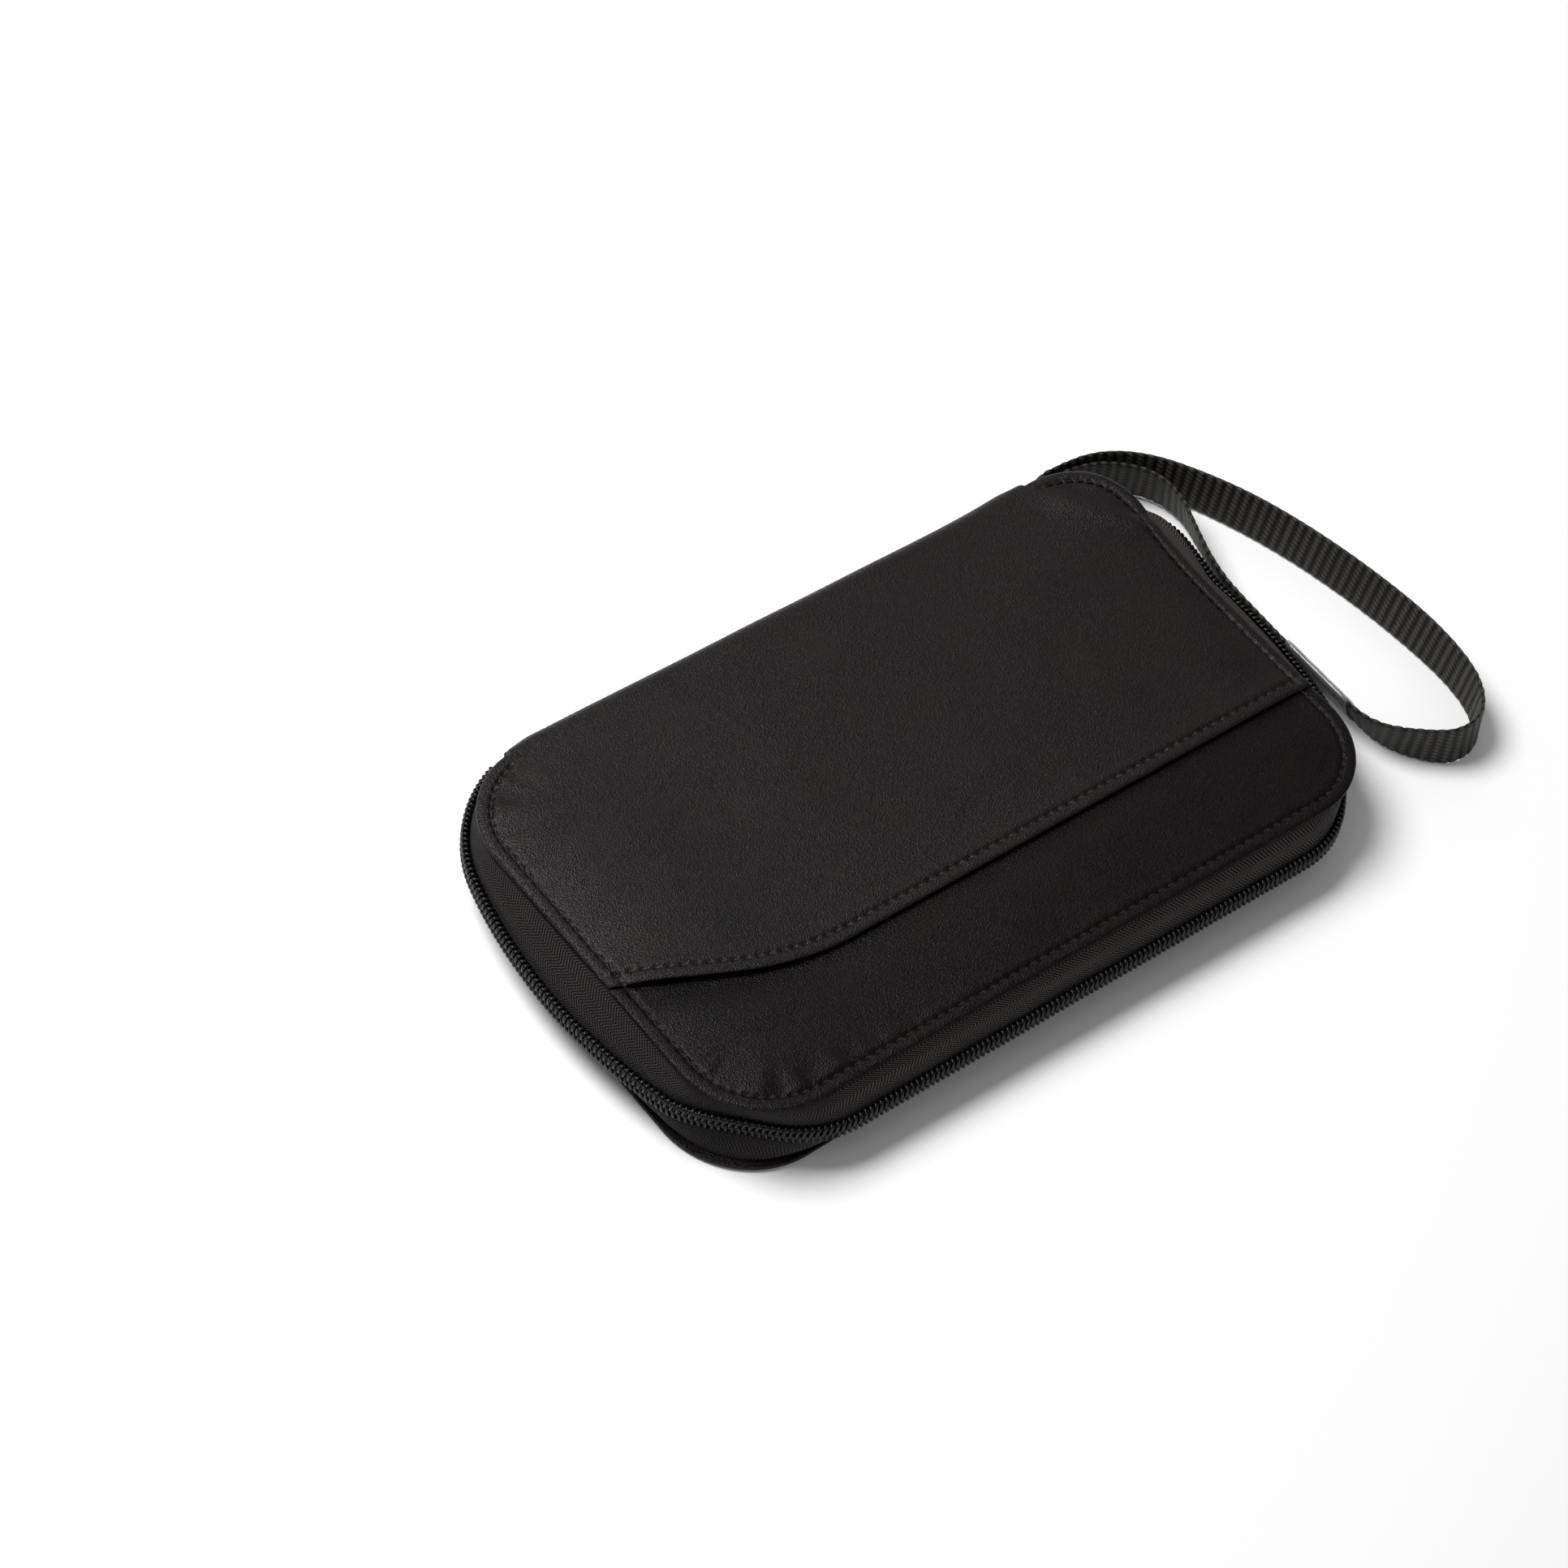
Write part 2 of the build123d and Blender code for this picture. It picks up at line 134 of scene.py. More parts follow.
class Recipe:
    """A material under construction: short calls that add nodes and join them."""

    def __init__(self, name, **constants):
        self.material = bpy.data.materials.new(name)
        self.material.use_nodes = True
        self.tree = self.material.node_tree
        self.shader = self.tree.nodes["Principled BSDF"]
        for socket, value in constants.items():
            self.shader.inputs[socket.replace("_", " ")].default_value = value

    def add(self, kind, inputs=None, **properties):
        node = self.tree.nodes.new("ShaderNode" + kind)
        for key, value in properties.items():
            setattr(node, key, value)
        for key, value in (inputs or {}).items():
            if isinstance(value, bpy.types.NodeSocket):
                self.tree.links.new(value, node.inputs[key])
            else:
                node.inputs[key].default_value = value
        return node

    def place(self):
        return self.add("TexCoord").outputs["Object"]

    def cloth_place(self):
        return self.add("UVMap", uv_map="cloth").outputs["UV"]

    def scaled(self, place, scale):
        return self.add("Mapping", {"Vector": place, "Scale": scale}).outputs["Vector"]

    def noise(self, place, scale, detail=3.0, roughness=0.55):
        values = {"Vector": place, "Scale": scale, "Detail": detail, "Roughness": roughness}
        return self.add("TexNoise", values).outputs["Fac"]

    def cells(self, place, scale):
        return self.add("TexVoronoi", {"Vector": place, "Scale": scale}).outputs["Distance"]

    def axes(self, place):
        outputs = self.add("SeparateXYZ", {"Vector": place}).outputs
        return outputs["X"], outputs["Y"]

    def math(self, operation, a, b=0.0, c=0.0):
        return self.add("Math", {0: a, 1: b, 2: c}, operation=operation).outputs[0]

    def times_plus(self, a, b, c=0.0):
        return self.math("MULTIPLY_ADD", a, b, c)

    def wave(self, value, period, kind="SINE"):
        return self.math(kind, self.math("MULTIPLY", value, 2 * math.pi / period))

    def ramp(self, value, stops):
        node = self.add("ValToRGB", {"Fac": value})
        elements = node.color_ramp.elements
        while len(elements) < len(stops):
            elements.new(0.5)
        for element, (position, colour) in zip(elements, stops):
            element.position = position
            element.color = (*colour, 1)
        return node.outputs["Color"]

    def spread(self, value, low, high):
        """Stretches a 0 to 1 value to low to high."""
        return self.times_plus(value, high - low, low)

    def bump(self, height, distance, strength):
        inputs = {"Height": height, "Distance": distance, "Strength": strength}
        return self.add("Bump", inputs).outputs["Normal"]

    def finish(self, colour, roughness, normal):
        for socket, value in (("Base Color", colour), ("Roughness", roughness), ("Normal", normal)):
            self.tree.links.new(value, self.shader.inputs[socket])
        return self.material

    def finish_from(self, value, stops, rough, relief):
        """One pattern drives the colour's stops, the roughness's range and the relief (depth, strength)."""
        return self.finish(self.ramp(value, stops), self.spread(value, *rough), self.bump(value, *relief))


def leather_material(name, dark, warm, rough, shine=0.2):
    """Fine-grained dyed leather: pebbled cells, pores, warm mottling, slightly polished high spots."""
    r = Recipe(name, Specular_IOR_Level=shine)
    place = r.place()
    warp = r.add("TexNoise", {"Vector": place, "Scale": 700.0, "Detail": 2.0}).outputs["Color"]
    bent = r.add("MixRGB", {"Fac": 0.0005, "Color1": place, "Color2": warp}, blend_type="ADD")
    cells = r.cells(bent.outputs["Color"], 2300.0)
    creases = r.noise(place, 2100.0, 4.0, 0.65)
    patches = r.noise(place, 60.0, 5.0, 0.7)
    specks = r.noise(place, 2600.0, 3.0, 0.6)
    height = r.times_plus(creases, 0.5, r.math("MULTIPLY", cells, 0.8))
    mottled = r.times_plus(patches, 0.25, r.math("MULTIPLY", specks, 0.75))
    colour = r.ramp(mottled, [(0.42, dark), (0.6, warm)])
    return r.finish(colour, r.spread(r.times_plus(cells, 0.35, patches), *rough), r.bump(height, 0.0002, 0.8))


def herringbone_material():
    """Zip tape: two-shade twill whose ribs change direction every few millimetres; cloth UVs are millimetres.
    Its colour is painted darker at the wallet's left end, as painted shade."""
    r = Recipe("zip_tape_twill", Specular_IOR_Level=0.13, Sheen_Weight=0.02, Sheen_Roughness=0.4)
    along, across = r.axes(r.cloth_place())
    column, slope, rib_pitch, yarn_pitch = 2.1, 1.25, 1.0, 0.4
    rib = r.wave(r.times_plus(r.math("PINGPONG", across, column), slope, along), rib_pitch)
    yarn = r.wave(across, yarn_pitch)
    fuzz = r.noise(r.scaled(r.cloth_place(), (2.2, 3.4, 1)), 1.0, 4.0, 0.7)
    height = r.times_plus(fuzz, 0.6, r.times_plus(yarn, 0.12, r.times_plus(rib, 0.3, 0.22)))
    # Painted shade: the height, and with it the colour, is lowered towards the wallet's left end.
    ends = {"Value": r.axes(r.place())[0], "From Min": -0.075, "From Max": -0.1, "To Min": 0.0, "To Max": 0.2}
    height = r.math("SUBTRACT", height, r.add("MapRange", ends).outputs["Result"])
    colour = r.ramp(height, [(0.28, (0.0015, 0.0014, 0.0014)), (0.52, (0.017, 0.0142, 0.0138)),
                             (0.85, (0.105, 0.088, 0.084))])
    return r.finish(colour, r.spread(fuzz, 0.5, 0.8), r.bump(height, 0.0003, 0.9))


def webbing_material():
    """Polypropylene webbing yarn: the ribs are modelled, the fibres are here; the rib wave paints the colour
    darkest in the grooves between ribs, as painted shade.
    """
    r = Recipe("strap_webbing", Specular_IOR_Level=0.2)
    along, across = r.axes(r.cloth_place())
    # Painted shade: this rib wave makes the colour darkest in the grooves between the ribs.
    rib = r.math("ABSOLUTE", r.wave(along, 2 * RIB_PITCH))
    fibres = r.noise(r.scaled(r.cloth_place(), (7.0, 2.6, 1)), 1.0, 3.0, 0.6)
    patches = r.noise(r.place(), 45.0, 2.0)
    slant = r.times_plus(along, 0.8 / RIB_PITCH, r.math("DIVIDE", across, BEAD_PITCH))
    mixed = r.times_plus(rib, 0.62, r.math("MULTIPLY", fibres, 0.35))
    mixed = r.times_plus(r.wave(slant, 1, "COSINE"), 0.12, r.times_plus(patches, 0.2, mixed))
    colour = r.ramp(mixed, [(0.46, (0.0003, 0.0003, 0.0003)), (0.72, (0.013, 0.012, 0.0095)),
                            (1.0, (0.06, 0.053, 0.04))])
    return r.finish(colour, r.spread(fibres, 0.3, 0.55), r.bump(fibres, 0.00014, 0.8))


def nylon_material():
    """The zip coil's monofilament, glossy with small scuffs."""
    r = Recipe("coil_nylon", Specular_IOR_Level=0.23)
    stops = [(0.35, (0.0022, 0.0022, 0.0022)), (0.75, (0.008, 0.0076, 0.0072))]
    return r.finish_from(r.noise(r.place(), 900.0, 3.0), stops, (0.15, 0.3), (0.00003, 0.6))


def thread_material():
    r = Recipe("sewing_thread", Specular_IOR_Level=0.2)
    stops = [(0.3, (0.0012, 0.0012, 0.0012)), (0.8, (0.006, 0.0056, 0.0052))]
    return r.finish_from(r.noise(r.place(), 2400.0, 2.0), stops, (0.45, 0.75), (0.00006, 0.6))


def lining_material():
    """Plain-woven polyester lining with a faint lustre."""
    r = Recipe("lining_cloth", Specular_IOR_Level=0.35, Sheen_Weight=0.3, Sheen_Roughness=0.35)
    yarn_pitch = 0.00055
    weave = r.math("MULTIPLY", *(r.wave(axis, yarn_pitch) for axis in r.axes(r.place())))
    slubs = r.noise(r.scaled(r.place(), (900.0, 60.0, 60.0)), 1.0, 3.0)
    mixed = r.times_plus(weave, 0.18, slubs)
    colour = r.ramp(mixed, [(0.3, (0.012, 0.012, 0.013)), (0.75, (0.034, 0.033, 0.034))])
    return r.finish(colour, r.spread(slubs, 0.45, 0.65), r.bump(mixed, 0.00008, 0.6))


def metal_material():
    """Nickel-plated die-cast zinc: fine scratches and softly worn patches."""
    r = Recipe("slider_nickel", Metallic=1.0)
    scratches = r.noise(r.scaled(r.place(), (2600.0, 260.0, 900.0)), 1.0, 3.0, 0.6)
    wear = r.noise(r.place(), 260.0, 3.0)
    colour = r.ramp(wear, [(0.3, (0.42, 0.39, 0.34)), (0.7, (0.64, 0.6, 0.54))])
    return r.finish(colour, r.spread(scratches, 0.14, 0.36), r.bump(scratches, 0.00002, 0.5))


def clear_material():
    """Clear soft PVC, half see-through: its grey colour, lighter in streaks along the sleeve's length, is
    painted reflection; the same streaks vary its roughness and relief.
    """
    r = Recipe("clear_sleeve_pvc", Alpha=0.5, IOR=1.5, Specular_IOR_Level=1.0)
    # Painted reflection: a grey colour with lighter streaks that run along the sleeve.
    painted_streaks = r.noise(r.scaled(r.place(), (500.0, 60.0, 500.0)), 1.0, 2.0)
    stops = [(0.3, (0.1, 0.096, 0.09)), (0.8, (0.26, 0.25, 0.24))]
    return r.finish_from(painted_streaks, stops, (0.1, 0.24), (0.00002, 0.2))


def board_material():
    r = Recipe("grey_board", Specular_IOR_Level=0.25)
    fibres = r.noise(r.scaled(r.place(), (700.0, 240.0, 700.0)), 1.0, 5.0, 0.7)
    stops = [(0.3, (0.035, 0.033, 0.03)), (0.75, (0.075, 0.07, 0.064))]
    return r.finish_from(fibres, stops, (0.8, 0.95), (0.0001, 0.6))


def foam_material():
    r = Recipe("grey_foam", Specular_IOR_Level=0.2, Sheen_Weight=0.1)
    stops = [(0.1, (0.03, 0.03, 0.032)), (0.7, (0.085, 0.085, 0.09))]
    return r.finish_from(r.cells(r.place(), 2200.0), stops, (0.85, 0.95), (0.0002, 0.8))


# ---- mesh helpers


def piece(name, points, faces, material, slot, body=None, cloth=None):
    """A new object from millimetre points in the wallet's frame; cloth is its UV in millimetres."""
    points = np.asarray(points, float).reshape(-1, 3) * MM
    points[:, 1] += CENTRE_Y
    mesh = bpy.data.meshes.new(name)
    faces = faces.tolist() if isinstance(faces, np.ndarray) else faces
    mesh.from_pydata(points.tolist(), [], faces)
    mesh.polygons.foreach_set("use_smooth", np.ones(len(mesh.polygons), bool))
    if cloth is not None:
        corners = np.zeros(len(mesh.loops), np.int32)
        mesh.loops.foreach_get("vertex_index", corners)
        layer = mesh.uv_layers.new(name="cloth")
        layer.data.foreach_set("uv", np.asarray(cloth, np.float32)[corners].ravel())
    mesh.materials.append(material)
    mesh.validate()
    obj = shown(name, mesh)
    if body:
        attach(obj, body)
    return obj


def grid_faces(rows, columns, wrap=False):
    """Quads between rows of points; wrap joins the last column to the first."""
    across = columns if wrap else columns - 1
    r, c = np.meshgrid(np.arange(rows - 1), np.arange(across), indexing="ij")
    a, b = r * columns + c, r * columns + (c + 1) % columns
    return np.stack([a, b, b + columns, a + columns], -1).reshape(-1, 4)


def closed_tube(rings, turned=False):
    """Points and faces of a tube through rings of points (rows, columns, 3), with both ends capped."""
    rows, columns = rings.shape[:2]
    faces = grid_faces(rows, columns, wrap=True).tolist()
    faces.append(list(range(columns))[::-1])
    faces.append(list(range((rows - 1) * columns, rows * columns)))
    return rings.reshape(-1, 3), [face[::-1] for face in faces] if turned else faces


def cloth_places(along, across):
    """A piece's place on its cloth, for rings of points at lengths along and across it."""
    return np.stack(np.broadcast_arrays(along[:, None], across), -1).reshape(-1, 2)


def joined(parts):
    """Several (points, faces) as one."""
    points, faces, start = [], [], 0
    for part_points, part_faces in parts:
        points.append(part_points)
        faces += [[index + start for index in face] for face in part_faces]
        start += len(part_points)
    return np.concatenate(points), faces


def smooth_step(value):
    value = np.clip(value, 0, 1)
    return value * value * (3 - 2 * value)


def hump(value, middle, width):
    return np.exp(-(((value - middle) / width) ** 2))


def noise_at(x, y, seed):
    """Smooth noise from -1 to 1 at each pair of coordinates."""
    x, y = np.broadcast_arrays(np.asarray(x, float), np.asarray(y, float))
    values = [noise.noise(Vector((a, b, seed))) for a, b in zip(x.ravel(), y.ravel())]
    return np.array(values).reshape(x.shape)


def unit(vectors):
    return vectors / np.linalg.norm(vectors, axis=1)[:, None]


def run_length(path):
    """How far along a path each of its points is."""
    return np.append(0, np.cumsum(np.linalg.norm(np.diff(path, axis=0), axis=1)))


def at_lengths(at, length, path):
    return np.stack([np.interp(at, length, column) for column in path.T], -1)


def circle(count):
    turn = np.linspace(0, 2 * math.pi, count, endpoint=False)
    return np.cos(turn), np.sin(turn)


def squared(wave, power):
    """A cosine or sine flattened towards a square wave, which rounds a rectangle's corners."""
    return np.sign(wave) * np.abs(wave) ** power


def two_faced(outer, inner):
    """Rings that go along one face of a strip and back along the other."""
    return np.concatenate([outer, inner[:, ::-1]], axis=1)


# ---- outlines


def arc_edge(centre, radius, start, sweep):
    def at(share):
        angle = np.radians(start + sweep * np.asarray(share, float))
        normal = np.stack([np.cos(angle), np.sin(angle)], -1)
        return np.asarray(centre, float) + radius * normal, normal

    at.length = abs(radius * math.radians(sweep))
    return at


def line_edge(start, end):
    start, end = np.asarray(start, float), np.asarray(end, float)
    length = np.linalg.norm(end - start)
    along = (end - start) / length

    def at(share):
        share = np.asarray(share, float)[..., None]
        normal = np.broadcast_to([along[1], -along[0]], share.shape[:-1] + (2,))
        return start + (end - start) * share, normal

    at.length = length
    return at


def sampled(edges, step, counts=None):
    """Points and outward normals along a row of edges, about a step apart."""
    counts = counts or [max(2, round(edge.length / step)) for edge in edges]
    found = [edge(np.arange(count) / count) for edge, count in zip(edges, counts)]
    return np.concatenate([f[0] for f in found]), np.concatenate([f[1] for f in found])


def through(points):
    return [line_edge(start, end) for start, end in zip(points, points[1:])]


def unchanged(*shape):
    return shape


def remade(edge, change=unchanged, first=0.0, last=1.0):
    """The stretch of an edge between two shares of it, with its points and normals changed."""
    def at(share):
        return change(*edge(first + (last - first) * np.asarray(share, float)))

    at.length = edge.length * abs(last - first)
    return at


def rounded_edges(low, high, radius):
    """A rounded rectangle, counter-clockwise from its front right corner."""
    left, front, right, back = *(low + radius), *(high - radius)
    return [
        arc_edge((right, front), radius, -90, 90),
        line_edge((high[0], front), (high[0], back)),
        arc_edge((right, back), radius, 0, 90),
        line_edge((right, high[1]), (left, high[1])),
        arc_edge((left, back), radius, 90, 90),
        line_edge((low[0], back), (low[0], front)),
        arc_edge((left, front), radius, 180, 90),
        line_edge((left, low[1]), (right, low[1])),
    ]


def rounded_distance(low, high, radius):
    """How far inside a rounded rectangle a point is."""
    middle, half = (low + high) / 2, (high - low) / 2 - radius

    def distance(x, y):
        qx, qy = np.abs(x - middle[0]) - half[0], np.abs(y - middle[1]) - half[1]
        outside = np.hypot(np.maximum(qx, 0), np.maximum(qy, 0))
        return radius - outside - np.minimum(np.maximum(qx, qy), 0)

    return distance


COVER_RADIUS = 25.0
STRAIGHT_X, STRAIGHT_Y = COVER_HALF - COVER_RADIUS
# The outline's length from the right side's middle to the end of the first corner, and to the back's middle
CORNER_RUN = STRAIGHT_Y + COVER_RADIUS * math.pi / 2
QUARTER = CORNER_RUN + STRAIGHT_X
COVER_EDGES = rounded_edges(-COVER_HALF, COVER_HALF, COVER_RADIUS)
edge_distance = rounded_distance(-COVER_HALF, COVER_HALF, COVER_RADIUS)

# The closed zip's centre line, and the degrees of a corner at which each coil and tape ends beside the spine
ZIP_HALF_LENGTH, ZIP_HALF_WIDTH = 114.0, 67.0
ZIP_CORNER, ZIP_SWEEP = 38.0, 75.0
CORNER_TUCK, TUCK_SPREAD = 3.4, 24
ZIP_END = 70.0
PARKED_END = 36.0
BOW = (ZIP_HALF_WIDTH - ZIP_CORNER * (1 - math.cos(math.radians(ZIP_SWEEP))))
BOW /= math.cos(math.radians(ZIP_SWEEP))
BOW_X = ZIP_HALF_LENGTH - BOW
CORNER_X = BOW_X + (BOW - ZIP_CORNER) * math.sin(math.radians(ZIP_SWEEP))
CORNER_Y = ZIP_HALF_WIDTH - ZIP_CORNER


def tuck(points, normals):
    """The zip pulled in at the two front corners, where the covers squeeze it."""
    angle = np.degrees(np.arctan2(normals[..., 1], normals[..., 0])) % 360
    near = hump(angle, 225, TUCK_SPREAD) + hump(angle, 315, TUCK_SPREAD)
    return points - CORNER_TUCK * near[..., None] * normals, normals


def zip_edges():
    """The closed zip's centre line, in the order of the covers' outline."""
    rest, half = 90 - ZIP_SWEEP, ZIP_HALF_WIDTH
    edges = [
        arc_edge((CORNER_X, -CORNER_Y), ZIP_CORNER, -90, ZIP_SWEEP),
        arc_edge((BOW_X, 0), BOW, -rest, 2 * rest),
        arc_edge((CORNER_X, CORNER_Y), ZIP_CORNER, rest, ZIP_SWEEP),
        line_edge((CORNER_X, half), (-CORNER_X, half)),
        arc_edge((-CORNER_X, CORNER_Y), ZIP_CORNER, 90, ZIP_SWEEP),
        arc_edge((-BOW_X, 0), BOW, 180 - rest, 2 * rest),
        arc_edge((-CORNER_X, -CORNER_Y), ZIP_CORNER, 180 + rest, ZIP_SWEEP),
        line_edge((-CORNER_X, -half), (CORNER_X, -half)),
    ]
    return [remade(edge, tuck) for edge in edges]


def zip_run(edges, right_end=ZIP_END):
    """The edges from the spine's left end round the front to its right end."""
    first = (90 - ZIP_END) / ZIP_SWEEP
    last = (right_end - (90 - ZIP_SWEEP)) / ZIP_SWEEP
    start, end = remade(edges[4], first=first), remade(edges[2], last=last)
    return [start, edges[5], edges[6], edges[7], edges[0], edges[1], end]


def edge_coordinate(x, y):
    """How far along the outline the nearest edge point is, counter-clockwise from the right side's middle."""
    ax, ay = np.abs(x), np.abs(y)
    turn = np.arctan2(np.maximum(ay - STRAIGHT_Y, 0), np.maximum(ax - STRAIGHT_X, 1e-9))
    on_side = COVER_HALF_LENGTH - ax < COVER_HALF_WIDTH - ay
    flat = np.where(on_side, ay, QUARTER - ax)
    found = np.where((ax > STRAIGHT_X) & (ay > STRAIGHT_Y), STRAIGHT_Y + COVER_RADIUS * turn, flat)
    found = np.where(x < 0, 2 * QUARTER - found, found)
    return np.where(y < 0, 4 * QUARTER - found, found)


# The front cover's lap seam: straight on the right, then rising to the left through an arc
SEAM_Y = -29.3
SEAM_TURN_X = -62.7
SEAM_SLOPE = 0.468
SEAM_RADIUS = 77.0
SEAM_LAP = 6.0
SEAM_ANGLE = math.atan(SEAM_SLOPE)
SEAM_TANGENT = SEAM_RADIUS * math.tan(SEAM_ANGLE / 2)
SEAM_CENTRE = (SEAM_TURN_X + SEAM_TANGENT, SEAM_Y + SEAM_RADIUS)


def seam_distance(x, y):
    """How far a point is on the spine's side of the lap seam."""
    right = y - SEAM_Y
    left = (y - SEAM_Y + SEAM_SLOPE * (x - SEAM_TURN_X)) * math.cos(SEAM_ANGLE)
    from_centre = np.hypot(x - SEAM_CENTRE[0], y - SEAM_CENTRE[1])
    turn = np.arctan2(SEAM_CENTRE[0] - x, SEAM_CENTRE[1] - y)
    near = (turn > 0) & (turn < SEAM_ANGLE)
    return np.where(near, SEAM_RADIUS - from_centre, np.minimum(right, left))


def seam_coordinate(x, y):
    """How far along the seam from its arc's right end, growing to the left."""
    turn = np.clip(np.arctan2(SEAM_CENTRE[0] - x, SEAM_CENTRE[1] - y), 0, SEAM_ANGLE)
    past_x = x - (SEAM_CENTRE[0] - SEAM_RADIUS * math.sin(SEAM_ANGLE))
    past_y = y - (SEAM_CENTRE[1] - SEAM_RADIUS * math.cos(SEAM_ANGLE))
    past = -past_x * math.cos(SEAM_ANGLE) + past_y * math.sin(SEAM_ANGLE)
    before = np.minimum(0, SEAM_CENTRE[0] - x)
    return before + SEAM_RADIUS * turn + np.maximum(0, past)


def seam_edges(lap, half_length):
    """The seam from left to right, moved towards the spine by lap, out to x = half_length each way."""
    radius = SEAM_RADIUS - lap
    arc_left = np.array(SEAM_CENTRE) - radius * np.array([math.sin(SEAM_ANGLE), math.cos(SEAM_ANGLE)])
    arc_right = (SEAM_CENTRE[0], SEAM_CENTRE[1] - radius)
    left_y = arc_left[1] + SEAM_SLOPE * (half_length + arc_left[0])
    start = 270 - math.degrees(SEAM_ANGLE)
    return [
        line_edge((-half_length, left_y), arc_left),
        arc_edge(SEAM_CENTRE, radius, start, math.degrees(SEAM_ANGLE)),
        line_edge(arc_right, (half_length, arc_right[1])),
    ]


# ---- leather covers

LEATHER = 0.8
STITCH_INSET = 3.5
STITCH_PITCH = 3.2
RIM_WIDTH = 1.5
LOWER_FACE = -0.9
# How wide the turned edge is, and the heights that it and the upper panel's lap rest at
HEM = 6.0
HEM_FLOOR, LAP_FLOOR = 20.25, 21.2

# The leather's way over the spine: a quarter ellipse, then straight down to the middle of the spine
BEND_WIDTH, BEND_HEIGHT = 4.2, 3.6
BEND_START = SPINE_BACK - BEND_WIDTH


def bend_table():
    """Length along the pattern, then the place and the outward direction in y and z."""
    turn = np.linspace(0, math.pi / 2, 60)
    y = np.append(BEND_START + BEND_WIDTH * np.sin(turn), SPINE_BACK)
    z = np.append(THICKNESS - BEND_HEIGHT * (1 - np.cos(turn)), MID_Z)
    normal = unit(np.stack([np.sin(turn) / BEND_WIDTH, np.cos(turn) / BEND_HEIGHT], -1))
    length = run_length(np.stack([y, z], -1))
    return np.array([BEND_START + length, y, z, *np.vstack([normal, [[1, 0]]]).T])


BEND = bend_table()
PATTERN_END = BEND[0][-1]
NOTCH_TURN = math.acos((SPINE_HALF_LENGTH - STRAIGHT_X) / COVER_RADIUS)
NOTCH_Y = STRAIGHT_Y + COVER_RADIUS * math.sin(NOTCH_TURN)


def over_the_spine(x, along, height):
    """Turns the flat pattern into the leather's place: height is measured off its outer face."""
    bent = [np.interp(along, BEND[0], column) for column in BEND[1:]]
    flat = (along, THICKNESS, 0, 1)
    y, z, out_y, out_z = (np.where(along < BEND_START, a, b) for a, b in zip(flat, bent))
    y = y - smooth_step((np.abs(x) - 75) / 8) * smooth_step((along - BEND_START) / 5)
    return np.stack([x, y + out_y * height, z + out_z * height], -1)


LIFT, LIFT_AT, LIFT_SPREAD = np.array([3.5, 3.3, 1.9]), (101, 53), 520
BULGE, BULGE_Y = 6.2, 38.5
BACK_SPREAD_X, BACK_SPREAD_Y = 3.5, 1.6


def lift_corner(points):
    """The front cover's back right corner, pushed out and up by the end of the zip under it."""
    x, y, z = np.moveaxis(points, -1, 0)
    squared_reach = (x - LIFT_AT[0]) ** 2 + (y - LIFT_AT[1]) ** 2
    near = np.exp(-squared_reach / LIFT_SPREAD) * smooth_step((z - MID_Z) / 6)
    return points + near[..., None] * LIFT


def bulge(points):
    """The closed zip's slack beside the strap's anchor: it bellies out to the right between the covers."""
    x, y, z = np.moveaxis(points, -1, 0)
    out = BULGE * hump(y, BULGE_Y, np.where(y > BULGE_Y, 9, 16)) * smooth_step((x - 85) / 18)
    out = out * smooth_step((y - 12) / 10) * smooth_step((8.2 - np.abs(z - MID_Z)) / 5)
    return points + out[..., None] * np.array([1.0, 0, 0])


def spread_back(points):
    """The back half's left end, which sits further out than the front half's, most at the floor."""
    x, y, z = np.moveaxis(points, -1, 0)
    left = smooth_step((MID_Z - z) / 9) * smooth_step((-x - 25) / 70)
    out_x = BACK_SPREAD_X * left * smooth_step((16 - y) / 36)
    out_y = BACK_SPREAD_Y * (left * smooth_step((10 - y) / 50))
    return points - np.stack([out_x, out_y, 0 * z], -1)


def free_distance(x, along):
    """How far a point is from the pattern's free edges, on a cover that goes on over the spine."""
    ax = np.abs(x)
    notch = np.hypot(SPINE_HALF_LENGTH - ax, np.maximum(NOTCH_Y - along, 0))
    beside = np.minimum(COVER_HALF_LENGTH - ax, np.where(along > NOTCH_Y, 1e3, along + COVER_HALF_WIDTH))
    on_spine_side = (ax < SPINE_HALF_LENGTH) & (along > 0)
    return np.where(on_spine_side, np.minimum(notch, beside), edge_distance(x, along))


# How far inside an edge the mesh has rings of points, closest over the rim and the furrow, and its spacings
# along the leather's edges, inside them, and along the inner layers' edges
INSETS = [0.05, 0.2, 0.45, 0.8, 1.2, 1.6, 2.1, 2.5, 2.8, 3.1, 3.35, 3.6, 3.85, 4.15, 4.6,
          5.2, 6.0, 7.2, 8.6, 10.2]
RING_STEP = 0.64
FILL_STEP = 1.7
LAYER_STEP = 1.6


